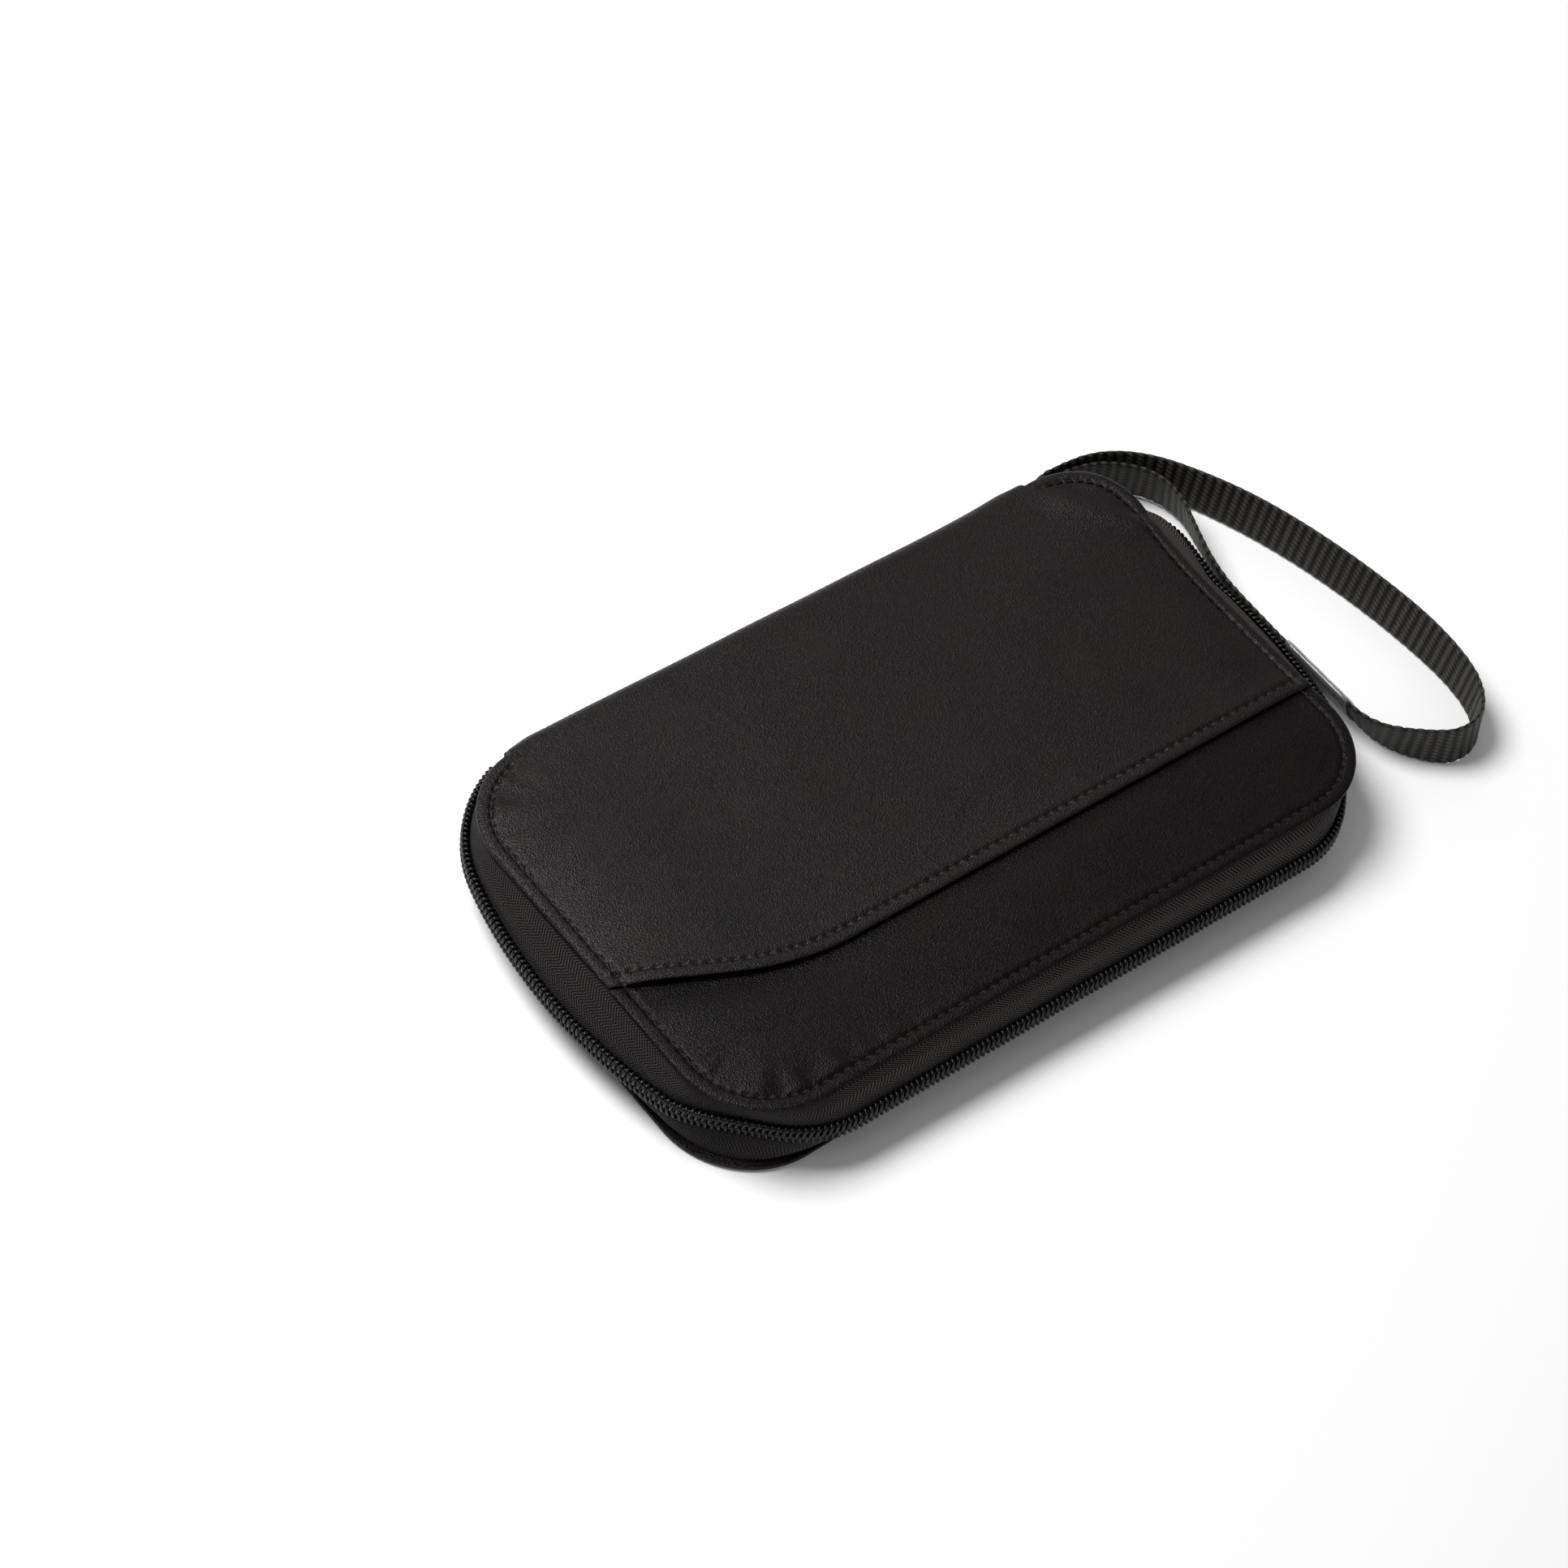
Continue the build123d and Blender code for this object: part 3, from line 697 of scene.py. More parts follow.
def pattern_points(boundary, normals, distance):
    """The boundary, rings parallel to it, a fan round each notch of the spine's tab, and a grid."""
    points = [boundary]
    for inset in INSETS:
        ring = boundary - inset * normals
        points.append(ring[distance(ring[:, 0], ring[:, 1]) > inset - 0.03])
    if boundary[:, 1].max() > NOTCH_Y + 1:
        turn = np.radians(np.arange(8, 90, 7))
        for side in (-1, 1):
            for inset in INSETS[2:]:
                points.append(np.stack([side * (SPINE_HALF_LENGTH - inset * np.cos(turn)),
                                        NOTCH_Y - inset * np.sin(turn)], -1))
    low, high = boundary.min(0), boundary.max(0)
    ys = np.arange(low[1] + FILL_STEP / 2, min(high[1], BEND_START - 2), FILL_STEP)
    ys = np.append(ys, np.arange(BEND_START - 1.4, high[1] - 0.3, 0.7))
    xs = np.arange(low[0], high[0], FILL_STEP)
    x, y = (grid.ravel() for grid in np.meshgrid(xs, ys))
    keep = distance(x, y) > INSETS[-1] + 0.6
    points.append(np.stack([x[keep], y[keep]], -1))
    return np.concatenate(points)


def sheet_between(edges, step, distance, top, bottom, place=over_the_spine):
    """A closed sheet over one triangulation: its outer and inner heights meet along the boundary."""
    boundary, normals = sampled(edges, step)
    count = len(boundary)
    ring = [(i, (i + 1) % count) for i in range(count)]
    points = [Vector(p) for p in pattern_points(boundary, normals, distance)]
    made = delaunay_2d_cdt(points, ring, [], 1, 1e-5)
    flat, triangles = np.array([tuple(p) for p in made[0]]), np.array(made[2])
    on_edge = np.array([min(source, default=count) < count for source in made[3]])
    x, y = flat.T
    lower = np.where(on_edge, np.arange(len(flat)), np.cumsum(~on_edge) - 1 + len(flat))
    upper_points = place(x, y, top(x, y))
    lower_points = place(x, y, bottom(x, y))[~on_edge]
    faces = np.concatenate([triangles, lower[triangles][:, ::-1]])
    return boundary, np.concatenate([upper_points, lower_points]), faces


def rim_drop(distance, half_depth):
    """The rounding of a turned edge: zero on its crown, half the rim's depth at the very edge."""
    reach = np.clip(1 - distance / RIM_WIDTH, 0, 1)
    return -half_depth * (1 - np.sqrt(1 - reach**2))


def groove(distance, along, depth):
    """The furrow that a row of stitches pulls, deeper at each needle hole."""
    holes = 1 + 0.75 * np.cos(2 * math.pi * along / STITCH_PITCH)
    return (-depth * (hump(distance, STITCH_INSET, 0.5) * holes)
            + 0.25 * depth * hump(distance - STITCH_INSET, 1.7, 1.1))


def puckers(distance, along, x):
    """Small gathers that run in from the stitches, strongest at the left end."""
    reach = smooth_step((distance - STITCH_INSET) / 1.5) * np.exp(-np.maximum(distance - 4.5, 0) / 8)
    strength = 0.14 + 0.6 * smooth_step((-x - 40) / 50)
    fine = 0.35 * noise_at(along / 3.4, distance / 12, 6.3)
    return strength * reach * (noise_at(along / 7.5, distance / 16, 3.1) + fine)


def padding_swell(distance, x):
    """The padding under the leather, which slopes off towards the stitches, fullest at the left end."""
    inside = np.maximum(distance - STITCH_INSET, 0)
    full = 0.45 + 0.75 * smooth_step((-x - 45) / 45)
    return full * (1 - np.exp(-inside / 4.8))


def off_tab(x, along):
    """1 on the cover, 0 on the stretch that lies over the spine, where no stitches run."""
    near_ends = smooth_step((np.abs(x) - SPINE_HALF_LENGTH - 0.5) / 3)
    return np.maximum(near_ends, smooth_step((BEND_START - 4 - along) / 6))


CREASE_START, CREASE_END = np.array([86.5, 51.0]), np.array([100.4, 33.1])


def crease(x, y):
    """The soft fold in the upper panel near its back right corner."""
    length = np.linalg.norm(CREASE_END - CREASE_START)
    along = (CREASE_END - CREASE_START) / length
    dx, dy = x - CREASE_START[0], y - CREASE_START[1]
    share = (dx * along[0] + dy * along[1]) / length
    off = -dx * along[1] + dy * along[0]
    window = smooth_step((share + 0.35) / 0.5) * smooth_step((1.25 - share) / 0.4)
    return window * (0.62 * hump(off, 0, 2.8) - 0.6 * hump(off, 5.0, 2.4))


def hemmed(top, distance, floor=HEM_FLOOR - THICKNESS):
    """The inner face: a leather's thickness under the outer one, but on the hem's floor along the edge."""
    share = smooth_step((distance - HEM) / 1.5)
    return floor * (1 - share) + (top - LEATHER) * share


def hemmed_off_tab(x, along, top):
    return np.where(off_tab(x, along) > 0.5, hemmed(top, free_distance(x, along)), top - LEATHER)


def upper_top(x, along):
    cover, seam = free_distance(x, along), seam_distance(x, along)
    distance, tab = np.minimum(cover, seam), off_tab(x, along)
    s = edge_coordinate(x, along)
    height = rim_drop(distance, np.where(cover < seam, 0.8, 0.5))
    height += tab * (groove(cover, s, 0.42) + puckers(cover, s, x))
    height += groove(seam, seam_coordinate(x, along), 0.36)
    height += 0.06 + 0.42 * np.exp(-np.maximum(seam, 0) / 4.5)
    height += padding_swell(cover, x) * smooth_step((BEND_START + 2 - along) / 26)
    height += 0.09 * noise_at(x / 17, along / 17, 1.7) * smooth_step((distance - 5) / 10)
    return height + crease(x, along) - 0.16


def upper_bottom(x, along):
    seam, top = seam_distance(x, along), upper_top(x, along)
    height = hemmed_off_tab(x, along, top)
    over_lap = np.maximum(height, np.minimum(LAP_FLOOR - THICKNESS, top - 0.3))
    return np.where(seam < SEAM_LAP + 2, over_lap, height)


def lower_top(x, y):
    cover, seam = edge_distance(x, y), seam_distance(x, y)
    s = edge_coordinate(x, y)
    height = LOWER_FACE + rim_drop(cover, 0.45) * (seam < 0)
    height += (groove(cover, s, 0.4) + puckers(cover, s, x)) * smooth_step(-seam / 1.5)
    height += padding_swell(cover, x) * smooth_step((-seam - 1) / 10)
    height += (0.07 * noise_at(x / 15, y / 15, 5.3) * smooth_step((-seam - 2) / 6)
               * smooth_step((cover - 4) / 6))
    return height + 0.22 * smooth_step(-seam / 5) * smooth_step((6 - cover) / 4)


def lower_bottom(x, y):
    top = lower_top(x, y)
    hem = np.minimum(HEM_FLOOR - THICKNESS, top - 0.2)
    return np.where(seam_distance(x, y) < 0, hemmed(top, edge_distance(x, y), hem), top - 0.7)


def back_top(x, along):
    """The back cover's outer face, lying flat: nothing stands proud of it."""
    cover, tab = free_distance(x, along), off_tab(x, along)
    s = edge_coordinate(x, along)
    height = rim_drop(cover, 0.87) + tab * groove(cover, s, 0.3)
    height += tab * np.minimum(puckers(cover, s, x), 0)
    return np.minimum(height, 0)


def back_bottom(x, along):
    return hemmed_off_tab(x, along, back_top(x, along))


def mirrored(points, faces):
    """The same sheet upside down."""
    points = points.copy()
    points[:, 2] = THICKNESS - points[:, 2]
    return points, faces[:, ::-1]


def spine_blend(obj, cover):
    """Bakes the piece's transform into its mesh, alike for either cover."""
    if cover == "front_half":
        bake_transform(obj)
    else:
        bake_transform(obj)


def make_covers(material, shaded_lower_material):
    """The front's two panels and the back, each one sheet; all but the lower go on over the spine."""
    side, tab_x, turn = COVER_HALF_LENGTH, SPINE_HALF_LENGTH, math.degrees(NOTCH_TURN)
    tab = [arc_edge((STRAIGHT_X, STRAIGHT_Y), COVER_RADIUS, 0, turn),
           *through([(tab_x, NOTCH_Y), (tab_x, PATTERN_END), (-tab_x, PATTERN_END), (-tab_x, NOTCH_Y)]),
           arc_edge((-STRAIGHT_X, STRAIGHT_Y), COVER_RADIUS, 180 - turn, turn)]
    seam, lap = seam_edges(0, side), seam_edges(SEAM_LAP, side - RIM_WIDTH)
    seam_left_y = seam[0](0.0)[0][1]

    edges = [line_edge((side, SEAM_Y), (side, STRAIGHT_Y)), *tab,
             line_edge((-side, STRAIGHT_Y), (-side, seam_left_y)), *seam]
    boundary, points, faces = sheet_between(
        edges, RING_STEP, lambda x, y: np.minimum(free_distance(x, y), seam_distance(x, y)),
        upper_top, upper_bottom)
    upper = piece("front_upper_leather", lift_corner(points), faces, material, "leather")
    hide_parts("front_upper_panel", "spine_leather")
    spine_blend(upper, "front_half")

    edges = [line_edge((-side, seam_left_y), (-side, -STRAIGHT_Y)), *COVER_EDGES[6:], COVER_EDGES[0],
             *through([(side, -STRAIGHT_Y), (side, SEAM_Y), (side - RIM_WIDTH, SEAM_Y), lap[2](1.0)[0]]),
             *(remade(edge, lambda p, normals: (p, -normals), 1, 0) for edge in lap[::-1]),
             *through([lap[0](0.0)[0], (-side + RIM_WIDTH, seam_left_y), (-side, seam_left_y)])]
    boundary, points, faces = sheet_between(
        edges, RING_STEP, lambda x, y: np.minimum(edge_distance(x, y), SEAM_LAP - seam_distance(x, y)),
        lower_top, lower_bottom)
    # The lower panel takes the darker copy of the leather, as painted shade.
    lower = piece("front_lower_leather", points, faces, shaded_lower_material, "leather", "front_half")
    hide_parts("front_lower_panel")

    edges = [COVER_EDGES[7], *COVER_EDGES[:2], *tab, *COVER_EDGES[5:7]]
    boundary, *sheet = sheet_between(edges, RING_STEP, free_distance, back_top, back_bottom)
    points, faces = mirrored(*sheet)
    back = piece("back_leather", spread_back(points), faces, material, "leather")
    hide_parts("back_cover_leather")
    spine_blend(back, "back_half")


# ---- stitches

THREAD_RADIUS, POCKET_THREAD_RADIUS = 0.26, 0.2
BACK_THREAD_SINK = 0.3
ROW_END_GAP = 6


def stitch(start, end, up, radius=THREAD_RADIUS):
    """One stitch of twisted thread from hole to hole, arched a little off the surface."""
    rows, columns, sink = 9, 6, 0.3
    share = np.linspace(0, 1, rows)
    along = (end - start) / np.linalg.norm(end - start)
    side = np.cross(up, along)
    arch = np.sin(math.pi * share)
    lift = radius * 0.9 * arch**0.5 - sink * (1 - arch) ** 3
    centre = start + np.outer(share, end - start) + np.outer(lift, up)
    turn = np.linspace(0, 2 * math.pi, columns, endpoint=False)
    twist = 1 + 0.2 * np.cos(2 * turn[None, :] - 2 * math.pi * 1.6 * share[:, None])
    thick = radius * twist * (0.55 + 0.45 * arch[:, None] ** 0.5)
    ring = thick[..., None] * (np.cos(turn)[:, None] * side + np.sin(turn)[:, None] * up)
    return closed_tube(centre[:, None, :] + ring)


def stitch_row(name, places, up, material, body):
    """Stitches from each place towards the next, covering four fifths of each pitch."""
    parts = [stitch(start, start + (after - start) * 0.8, up) for start, after in zip(places, places[1:])]
    piece(name, *joined(parts), material, "zip_tape", body)


def needle_holes(path, coordinate, first, last, height, period=None):
    """Places a stitch's pitch apart between two coordinates of a path, on the given outer face."""
    order = np.argsort(coordinate)
    wanted = np.arange(math.ceil(first / STITCH_PITCH), math.floor(last / STITCH_PITCH) + 1) * STITCH_PITCH
    wanted = wanted % period if period else wanted
    x, y = (np.interp(wanted, coordinate[order], path[order, i], period=period) for i in (0, 1))
    return over_the_spine(x, y, height(x, y))


def make_cover_stitches(material):
    """A row round each cover, open beside the spine, and one along the lap seam."""
    first, last = 2 * QUARTER - CORNER_RUN + ROW_END_GAP, 4 * QUARTER + CORNER_RUN - ROW_END_GAP
    inset = [remade(edge, lambda p, normals: (p - STITCH_INSET * normals, normals)) for edge in COVER_EDGES]
    path, _ = sampled(inset, 0.2)
    run = path, edge_coordinate(*path.T), first, last

    def front_face(x, y):
        return np.where(seam_distance(x, y) > 0, upper_top(x, y), lower_top(x, y))

    places = lift_corner(needle_holes(*run, front_face, 4 * QUARTER))
    stitch_row("front_cover_stitches", places, UP, material, "front_half")
    places = needle_holes(*run, back_top, 4 * QUARTER)
    places[:, 2] = THICKNESS - places[:, 2] + BACK_THREAD_SINK
    stitch_row("back_cover_stitches", spread_back(places), -UP, material, "back_half")

    path, _ = sampled(seam_edges(STITCH_INSET, COVER_HALF_LENGTH - STITCH_INSET), 0.2)
    along = seam_coordinate(*path.T)
    places = needle_holes(path, along, along.min(), along.max(), upper_top)
    stitch_row("lap_seam_stitches", places, UP, material, "front_half")


# ---- zip

TAPE = 0.6
TAPE_HEIGHT = 12.5
TAPE_INSET, TAPE_TUCK = 1.1, 2.1
TAPE_LOW, TAPE_TOP = MID_Z + 0.3, 20.2
COIL_PITCH = 1.575
FILAMENT = 0.47
COIL_HALF_DEPTH, COIL_HALF_HEIGHT = 1.3 - FILAMENT, 1.35
COIL_MIDDLE = MID_Z + 1.08
FILLER_HALF_DEPTH, FILLER_HALF_HEIGHT = 0.55, 0.95
END_TAB_X, END_TAB_Y, END_TAB_LENGTH = 84, 60.2, 6.4
END_TAB_HALF_THICK, END_TAB_HALF_HEIGHT = 1.5, 4.7


def tape_rings(step=1.1, rows=15):
    """The tape's outer and inner faces, as rings of points along the zip's run."""
    run = zip_run(zip_edges())
    counts = [max(2, round(edge.length / step)) for edge in run]
    zip_points, zip_normals = sampled(run, step, counts)
    cover_points, cover_normals = sampled(zip_run(COVER_EDGES), step, counts)
    share = np.linspace(0, 1, rows)
    inward = (share**1.7)[None, :, None]
    length = run_length(zip_points)
    sag = noise_at(length[:, None] / 15, share * 1.4, 8.2)
    swell = (0.55 + 0.35 * sag) * np.sin(math.pi * share)[None, :] ** 1.2
    z = TAPE_LOW + (TAPE_TOP - TAPE_LOW) * share
    faces = []
    for depth in (0, TAPE):
        low = zip_points - (TAPE_INSET + depth) * zip_normals
        high = cover_points - (TAPE_TUCK + depth) * cover_normals
        flat = low[:, None] * (1 - inward) + high[:, None] * inward + swell[..., None] * zip_normals[:, None]
        faces.append(np.dstack([flat, np.broadcast_to(z, flat.shape[:2])]))
    return two_faced(*faces), length, share


def make_tape(half, material):
    rings, length, share = tape_rings()
    across = np.concatenate([share, share[::-1] + 1.2]) * TAPE_HEIGHT
    cloth = cloth_places(length, across)
    if half == "back":
        rings[..., 2] = THICKNESS - rings[..., 2]
        rings = spread_back(rings)
    else:
        rings = lift_corner(rings)
    points, faces = closed_tube(bulge(rings), turned=half == "front")
    tape = piece(f"{half}_tape", points, faces, material, "zip_tape", f"{half}_half", cloth)
    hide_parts(f"{half}_zip_tape")


def make_coil(half, material, right_end):
    """A filament wound in flattened turns round a filler cord; the two rows' heads meet at the middle."""
    path, normals = sampled(zip_run(zip_edges(), right_end), 0.1)
    length = run_length(path)
    steps, is_back = 16, half == "back"
    count = int(length[-1] / COIL_PITCH) * steps
    at = np.arange(count) * COIL_PITCH / steps
    turn = 2 * math.pi * np.arange(count) / steps + (math.pi if is_back else 0)
    out = COIL_HALF_DEPTH * squared(np.cos(turn), 0.7)
    up = COIL_HALF_HEIGHT * squared(np.sin(turn), 0.85)
    base, normal = at_lengths(at, length, path), unit(at_lengths(at, length, normals))
    sway = noise_at(at / 22, 2.0, 6.0) * 0.25
    height = THICKNESS - COIL_MIDDLE - up + sway if is_back else COIL_MIDDLE + up + sway
    centre = bulge(np.column_stack([base + normal * out[:, None], height]))
    tangent = unit(np.gradient(centre, axis=0))
    along = np.column_stack([-normal[:, 1], normal[:, 0], np.zeros(count)])
    side = unit(along - (along * tangent).sum(1)[:, None] * tangent)
    third = np.cross(tangent, side)
    cos, sin = (wave[None, :, None] for wave in circle(8))
    wire = closed_tube(centre[:, None] + FILAMENT * (cos * side[:, None] + sin * third[:, None]))

    every = slice(None, None, steps // 2)
    height = (THICKNESS - COIL_MIDDLE if is_back else COIL_MIDDLE) + sway[every]
    outward = np.column_stack([normal[every], np.zeros(len(height))])
    cos, sin = circle(10)
    heart = np.column_stack([base[every], height])[:, None]
    heart = heart + FILLER_HALF_DEPTH * cos[None, :, None] * outward[:, None]
    heart[..., 2] += FILLER_HALF_HEIGHT * sin[None, :]
    coil = piece(f"{half}_coil_turns", *joined([wire, closed_tube(bulge(heart))]), material, "zip_coil",
                 f"{half}_half")
    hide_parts(f"{half}_coil")


def make_end_tabs(material):
    """The folded leather scraps that close the tapes' ends beside the spine."""
    cos, sin = circle(28)
    for name, side in (("left", -1), ("right", 1)):
        rings = []
        for share in np.linspace(0, 1, 12):
            end = 0.75 + 0.25 * math.sqrt(max(0.0, 1 - abs(2 * share - 1) ** 5))
            x = np.full(len(cos), side * (END_TAB_X + END_TAB_LENGTH * share))
            y = END_TAB_Y - 0.35 * END_TAB_LENGTH * share + END_TAB_HALF_THICK * end * squared(cos, 0.6)
            z = MID_Z + END_TAB_HALF_HEIGHT * end * squared(sin, 0.45)
            rings.append(np.stack([x, y, z], -1))
        tab = piece(f"end_fold_{name}", *closed_tube(np.array(rings), side > 0), material, "leather", "spine")
        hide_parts(f"zip_end_tab_{name}")


def make_zip(tape_material, coil_material):
    for half in ("front", "back"):
        make_tape(half, tape_material)
    make_coil("front", coil_material, PARKED_END)
    make_coil("back", coil_material, ZIP_END)


# ---- wrist strap

STRAP_Z = 7.2
STRAP_ROUTE = [
    (0.0985, 0.07095), (0.109, 0.07095), (0.1195, 0.06765), (0.1285, 0.06015), (0.1355, 0.04915),
    (0.1415, 0.03665), (0.1465, 0.02165), (0.1502, 0.00565), (0.1527, -0.01035), (0.1538, -0.02435),
    (0.1534, -0.03685), (0.1508, -0.04735), (0.1445, -0.05535), (0.1345, -0.05635), (0.1265, -0.04985),
    (0.121, -0.04285), (0.1188, -0.03535), (0.1188, 0.01165), (0.1205, 0.02365), (0.124, 0.03515),
    (0.1278, 0.04615), (0.126, 0.05665), (0.1185, 0.06445), (0.1085, 0.06885), (0.0985, 0.06885),
]
STRAP_HALF_WIDTH, STRAP_HALF_THICK = 6.4, 0.78
RIB_DEPTH, BEAD_DEPTH = 0.46, 0.18
# How far the loop's outer run sinks from the anchor's height to lie on the floor
FLOOR_DROP = 0.6
# How far the strap leans from upright, in degrees at lengths from its anchor
LEAN_AT = (0, 25, 60, 120, 145, 160, 172, 190, 240, 252, 263, 275, 290, 315)
LEAN = (0, 5, 14, 14, 4, -10, 0, 28, 28, 25, 19, 14, 5, 0)

SLEEVE_X, SLEEVE_Y = 118.8, (-34.0, -10.0)
SLEEVE_HALF_WIDTH, SLEEVE_HALF_THICK = 6.6, 1.6
SLEEVE_WALL, SLEEVE_LEAN = 0.35, 28

ANCHOR_X, ANCHOR_Y = (92.8, 98.9), 68.5
ANCHOR_LOW, ANCHOR_TOP, ANCHOR_RISE = 1.4, 8.6, 4.4
ANCHOR_HALF_THICK = 1.8


def strap_line():
    """Points along the strap's smooth route, in millimetres, read from its spline."""
    data = bpy.data.curves.new("strap_route", "CURVE")
    data.dimensions, data.resolution_u = "3D", 24
    spline = data.splines.new("NURBS")
    spline.points.add(len(STRAP_ROUTE) - 1)
    for point, (x, y) in zip(spline.points, STRAP_ROUTE):
        point.co = (x, y, STRAP_Z * MM, 1)
    spline.order_u = 3
    spline.use_endpoint_u = True
    route = shown("strap_route", data)
    mesh = bpy.data.meshes.new_from_object(route)
    line = np.array([v.co for v in mesh.vertices]) / MM
    bpy.data.objects.remove(route)
    line[:, 1] -= CENTRE_Y / MM
    return line


def webbing_relief(along, across):
    """How far the woven face lies below its highest beads: ribs across the strap, each a slanted twist."""
    place = along / RIB_PITCH
    rib, phase = np.floor(place), place % 1
    swell = np.abs(np.sin(math.pi * phase)) ** 0.45
    bead = 0.5 + 0.5 * np.cos(2 * math.pi * (across / BEAD_PITCH + 0.5 * (rib % 2) + 0.8 * phase))
    return RIB_DEPTH * (1 - swell) + BEAD_DEPTH * (1 - bead) * swell


def make_sleeve(material):
    """The clear keeper round the strap: a thin-walled oval tube, leaning as the strap does inside it."""
    cos, sin = circle(48)
    lean = math.radians(SLEEVE_LEAN)
    across = np.array([-math.sin(lean), 0, math.cos(lean)])
    through_wall = np.array([math.cos(lean), 0, math.sin(lean)])
    stations = [(SLEEVE_Y[0], 0.25), *((y, 0.0) for y in np.linspace(*SLEEVE_Y, 14)),
                *((y, SLEEVE_WALL) for y in np.linspace(*SLEEVE_Y, 8)[::-1])]
    rings = []
    for y, inner in stations:
        swell = 1 + 0.02 * math.sin(y * 0.8)
        wide = (SLEEVE_HALF_WIDTH * swell - inner) * cos
        thick = (SLEEVE_HALF_THICK * swell - inner) * squared(sin, 0.8)
        centre = np.array([SLEEVE_X, y, STRAP_Z])
        rings.append(centre + wide[:, None] * across + thick[:, None] * through_wall)
    rings = np.array(rings)
    rows, columns = rings.shape[:2]
    last = (rows - 1) * columns
    faces = grid_faces(rows, columns, wrap=True).tolist()
    faces += [[last + i, last + (i + 1) % columns, (i + 1) % columns, i] for i in range(columns)]
    sleeve = piece("clear_sleeve", rings.reshape(-1, 3), faces, material, "clear_plastic", "strap_keeper")
    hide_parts("strap_sleeve")
    return sleeve


def make_anchor(material):
    """The webbing's folded end, stitched down behind the spine's right end."""
    columns = 32
    stations = np.linspace(*ANCHOR_X, 14)
    share = (stations - stations[0]) / (stations[-1] - stations[0])
    top = ANCHOR_TOP + ANCHOR_RISE * smooth_step(share * 1.1)
    turn = np.linspace(0, 2 * math.pi, columns, endpoint=False)
    rings = []
    for x, high, at in zip(stations, top, share):
        end = 0.55 + 0.45 * math.sqrt(max(0.0, 1 - (2 * abs(at - 0.5)) ** 6))
        y = ANCHOR_Y + ANCHOR_HALF_THICK * end * squared(np.sin(turn), 0.5)
        z = (high + ANCHOR_LOW) / 2 + (high - ANCHOR_LOW) / 2 * squared(np.cos(turn), 0.35)
        rings.append(np.stack([np.full(columns, x), y, z], -1))
    cloth = cloth_places(stations, turn * 3)
    anchor = piece("strap_end_fold", *closed_tube(np.array(rings)), material, "webbing", "back_half", cloth)
    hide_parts("strap_anchor")
    return anchor


def make_strap(material, clear):
    """The ribbed webbing along its route, with its folded end and its sleeve."""
    line = strap_line()
    length = run_length(line)
    count, columns = int(length[-1] / 0.28), 33
    at = np.linspace(0, length[-1], count)
    centre = at_lengths(at, length, line)
    centre[:, 2] -= FLOOR_DROP * smooth_step((at - 15) / 45) * smooth_step((235 - at) / 35)
    tangent = unit(np.gradient(centre, axis=0))
    side = np.column_stack([tangent[:, 1], -tangent[:, 0], np.zeros(count)])
    lean = np.radians(np.interp(at, LEAN_AT, LEAN))
    lean = np.convolve(np.pad(lean, 25, mode="edge"), np.ones(51) / 51, mode="valid")[:, None]
    width_way = np.cos(lean) * UP - np.sin(lean) * side
    thick_way = np.cos(lean) * side + np.sin(lean) * UP
    across = np.linspace(-1, 1, columns)
    scallop = 0.16 * np.abs(np.sin(math.pi * at / RIB_PITCH)) ** 0.6
    half_width = STRAP_HALF_WIDTH - 0.12 + scallop
    rounding = (1 - np.abs(across[None, :]) ** 8) ** 0.5
    faces = []
    for sign in (1, -1):
        w = sign * across[None, :] * half_width[:, None]
        off = sign * (STRAP_HALF_THICK - webbing_relief(at[:, None], w)) * rounding
        faces.append(centre[:, None] + off[..., None] * thick_way[:, None]
                     + w[..., None] * width_way[:, None])
    rings = np.concatenate([faces[0], faces[1][:, 1:-1]], axis=1)
    around = np.concatenate([across, across[1:-1] + 2.2]) * STRAP_HALF_WIDTH
    cloth = cloth_places(at, around)
    strap = piece("wrist_strap_webbing", *closed_tube(rings, turned=True), material, "webbing", "back_half",
                  cloth)
    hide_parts("wrist_strap")
    path = centre[::4] * MM
    path[:, 1] += CENTRE_Y
    ends = [make_anchor(material), make_sleeve(clear)]


# ---- padding, linings and pockets

PADDING_INSET, LINING_INSET = 2.0, 2.5
PADDING_GAP = 0.1
POCKET_CORNER = 4.0
POCKET_STITCH = 2.4


def node_limits(node):
    """A CAD node's box in millimetres: low and high corners in plan, and its bottom and top."""
    low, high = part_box(node)
    corners = np.array([[low.x, low.y - CENTRE_Y], [high.x, high.y - CENTRE_Y]]) / MM
    return corners[0], corners[1], low.z / MM, high.z / MM


def soft_layer(name, node, edges, distance, relief, material, slot, body, face_up, rim):
    """A soft sheet in a CAD node's place, and its boundary: relief lowers the face that is seen."""
    _, _, bottom, top = node_limits(node)
    sign, face, back = (1, top, bottom) if face_up else (-1, bottom, top)
    middle = (bottom + top) / 2

    def turned_in(x, y, level):
        inside = np.clip(1 - distance(x, y) / rim, 0, 1)
        return (level - middle) * (1 - np.sqrt(1 - inside**2))

    def seen(x, y):
        return face - turned_in(x, y, face) - sign * relief(x, y)

    def hidden(x, y):
        return back - turned_in(x, y, back)

    upper, lower = (seen, hidden) if face_up else (hidden, seen)
    boundary, *sheet = sheet_between(edges, LAYER_STEP, distance, upper, lower,
                                     lambda x, y, z: np.stack([x, y, z], -1))
    made = piece(name, *sheet, material, slot, body)
    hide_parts(node)
    return made, boundary


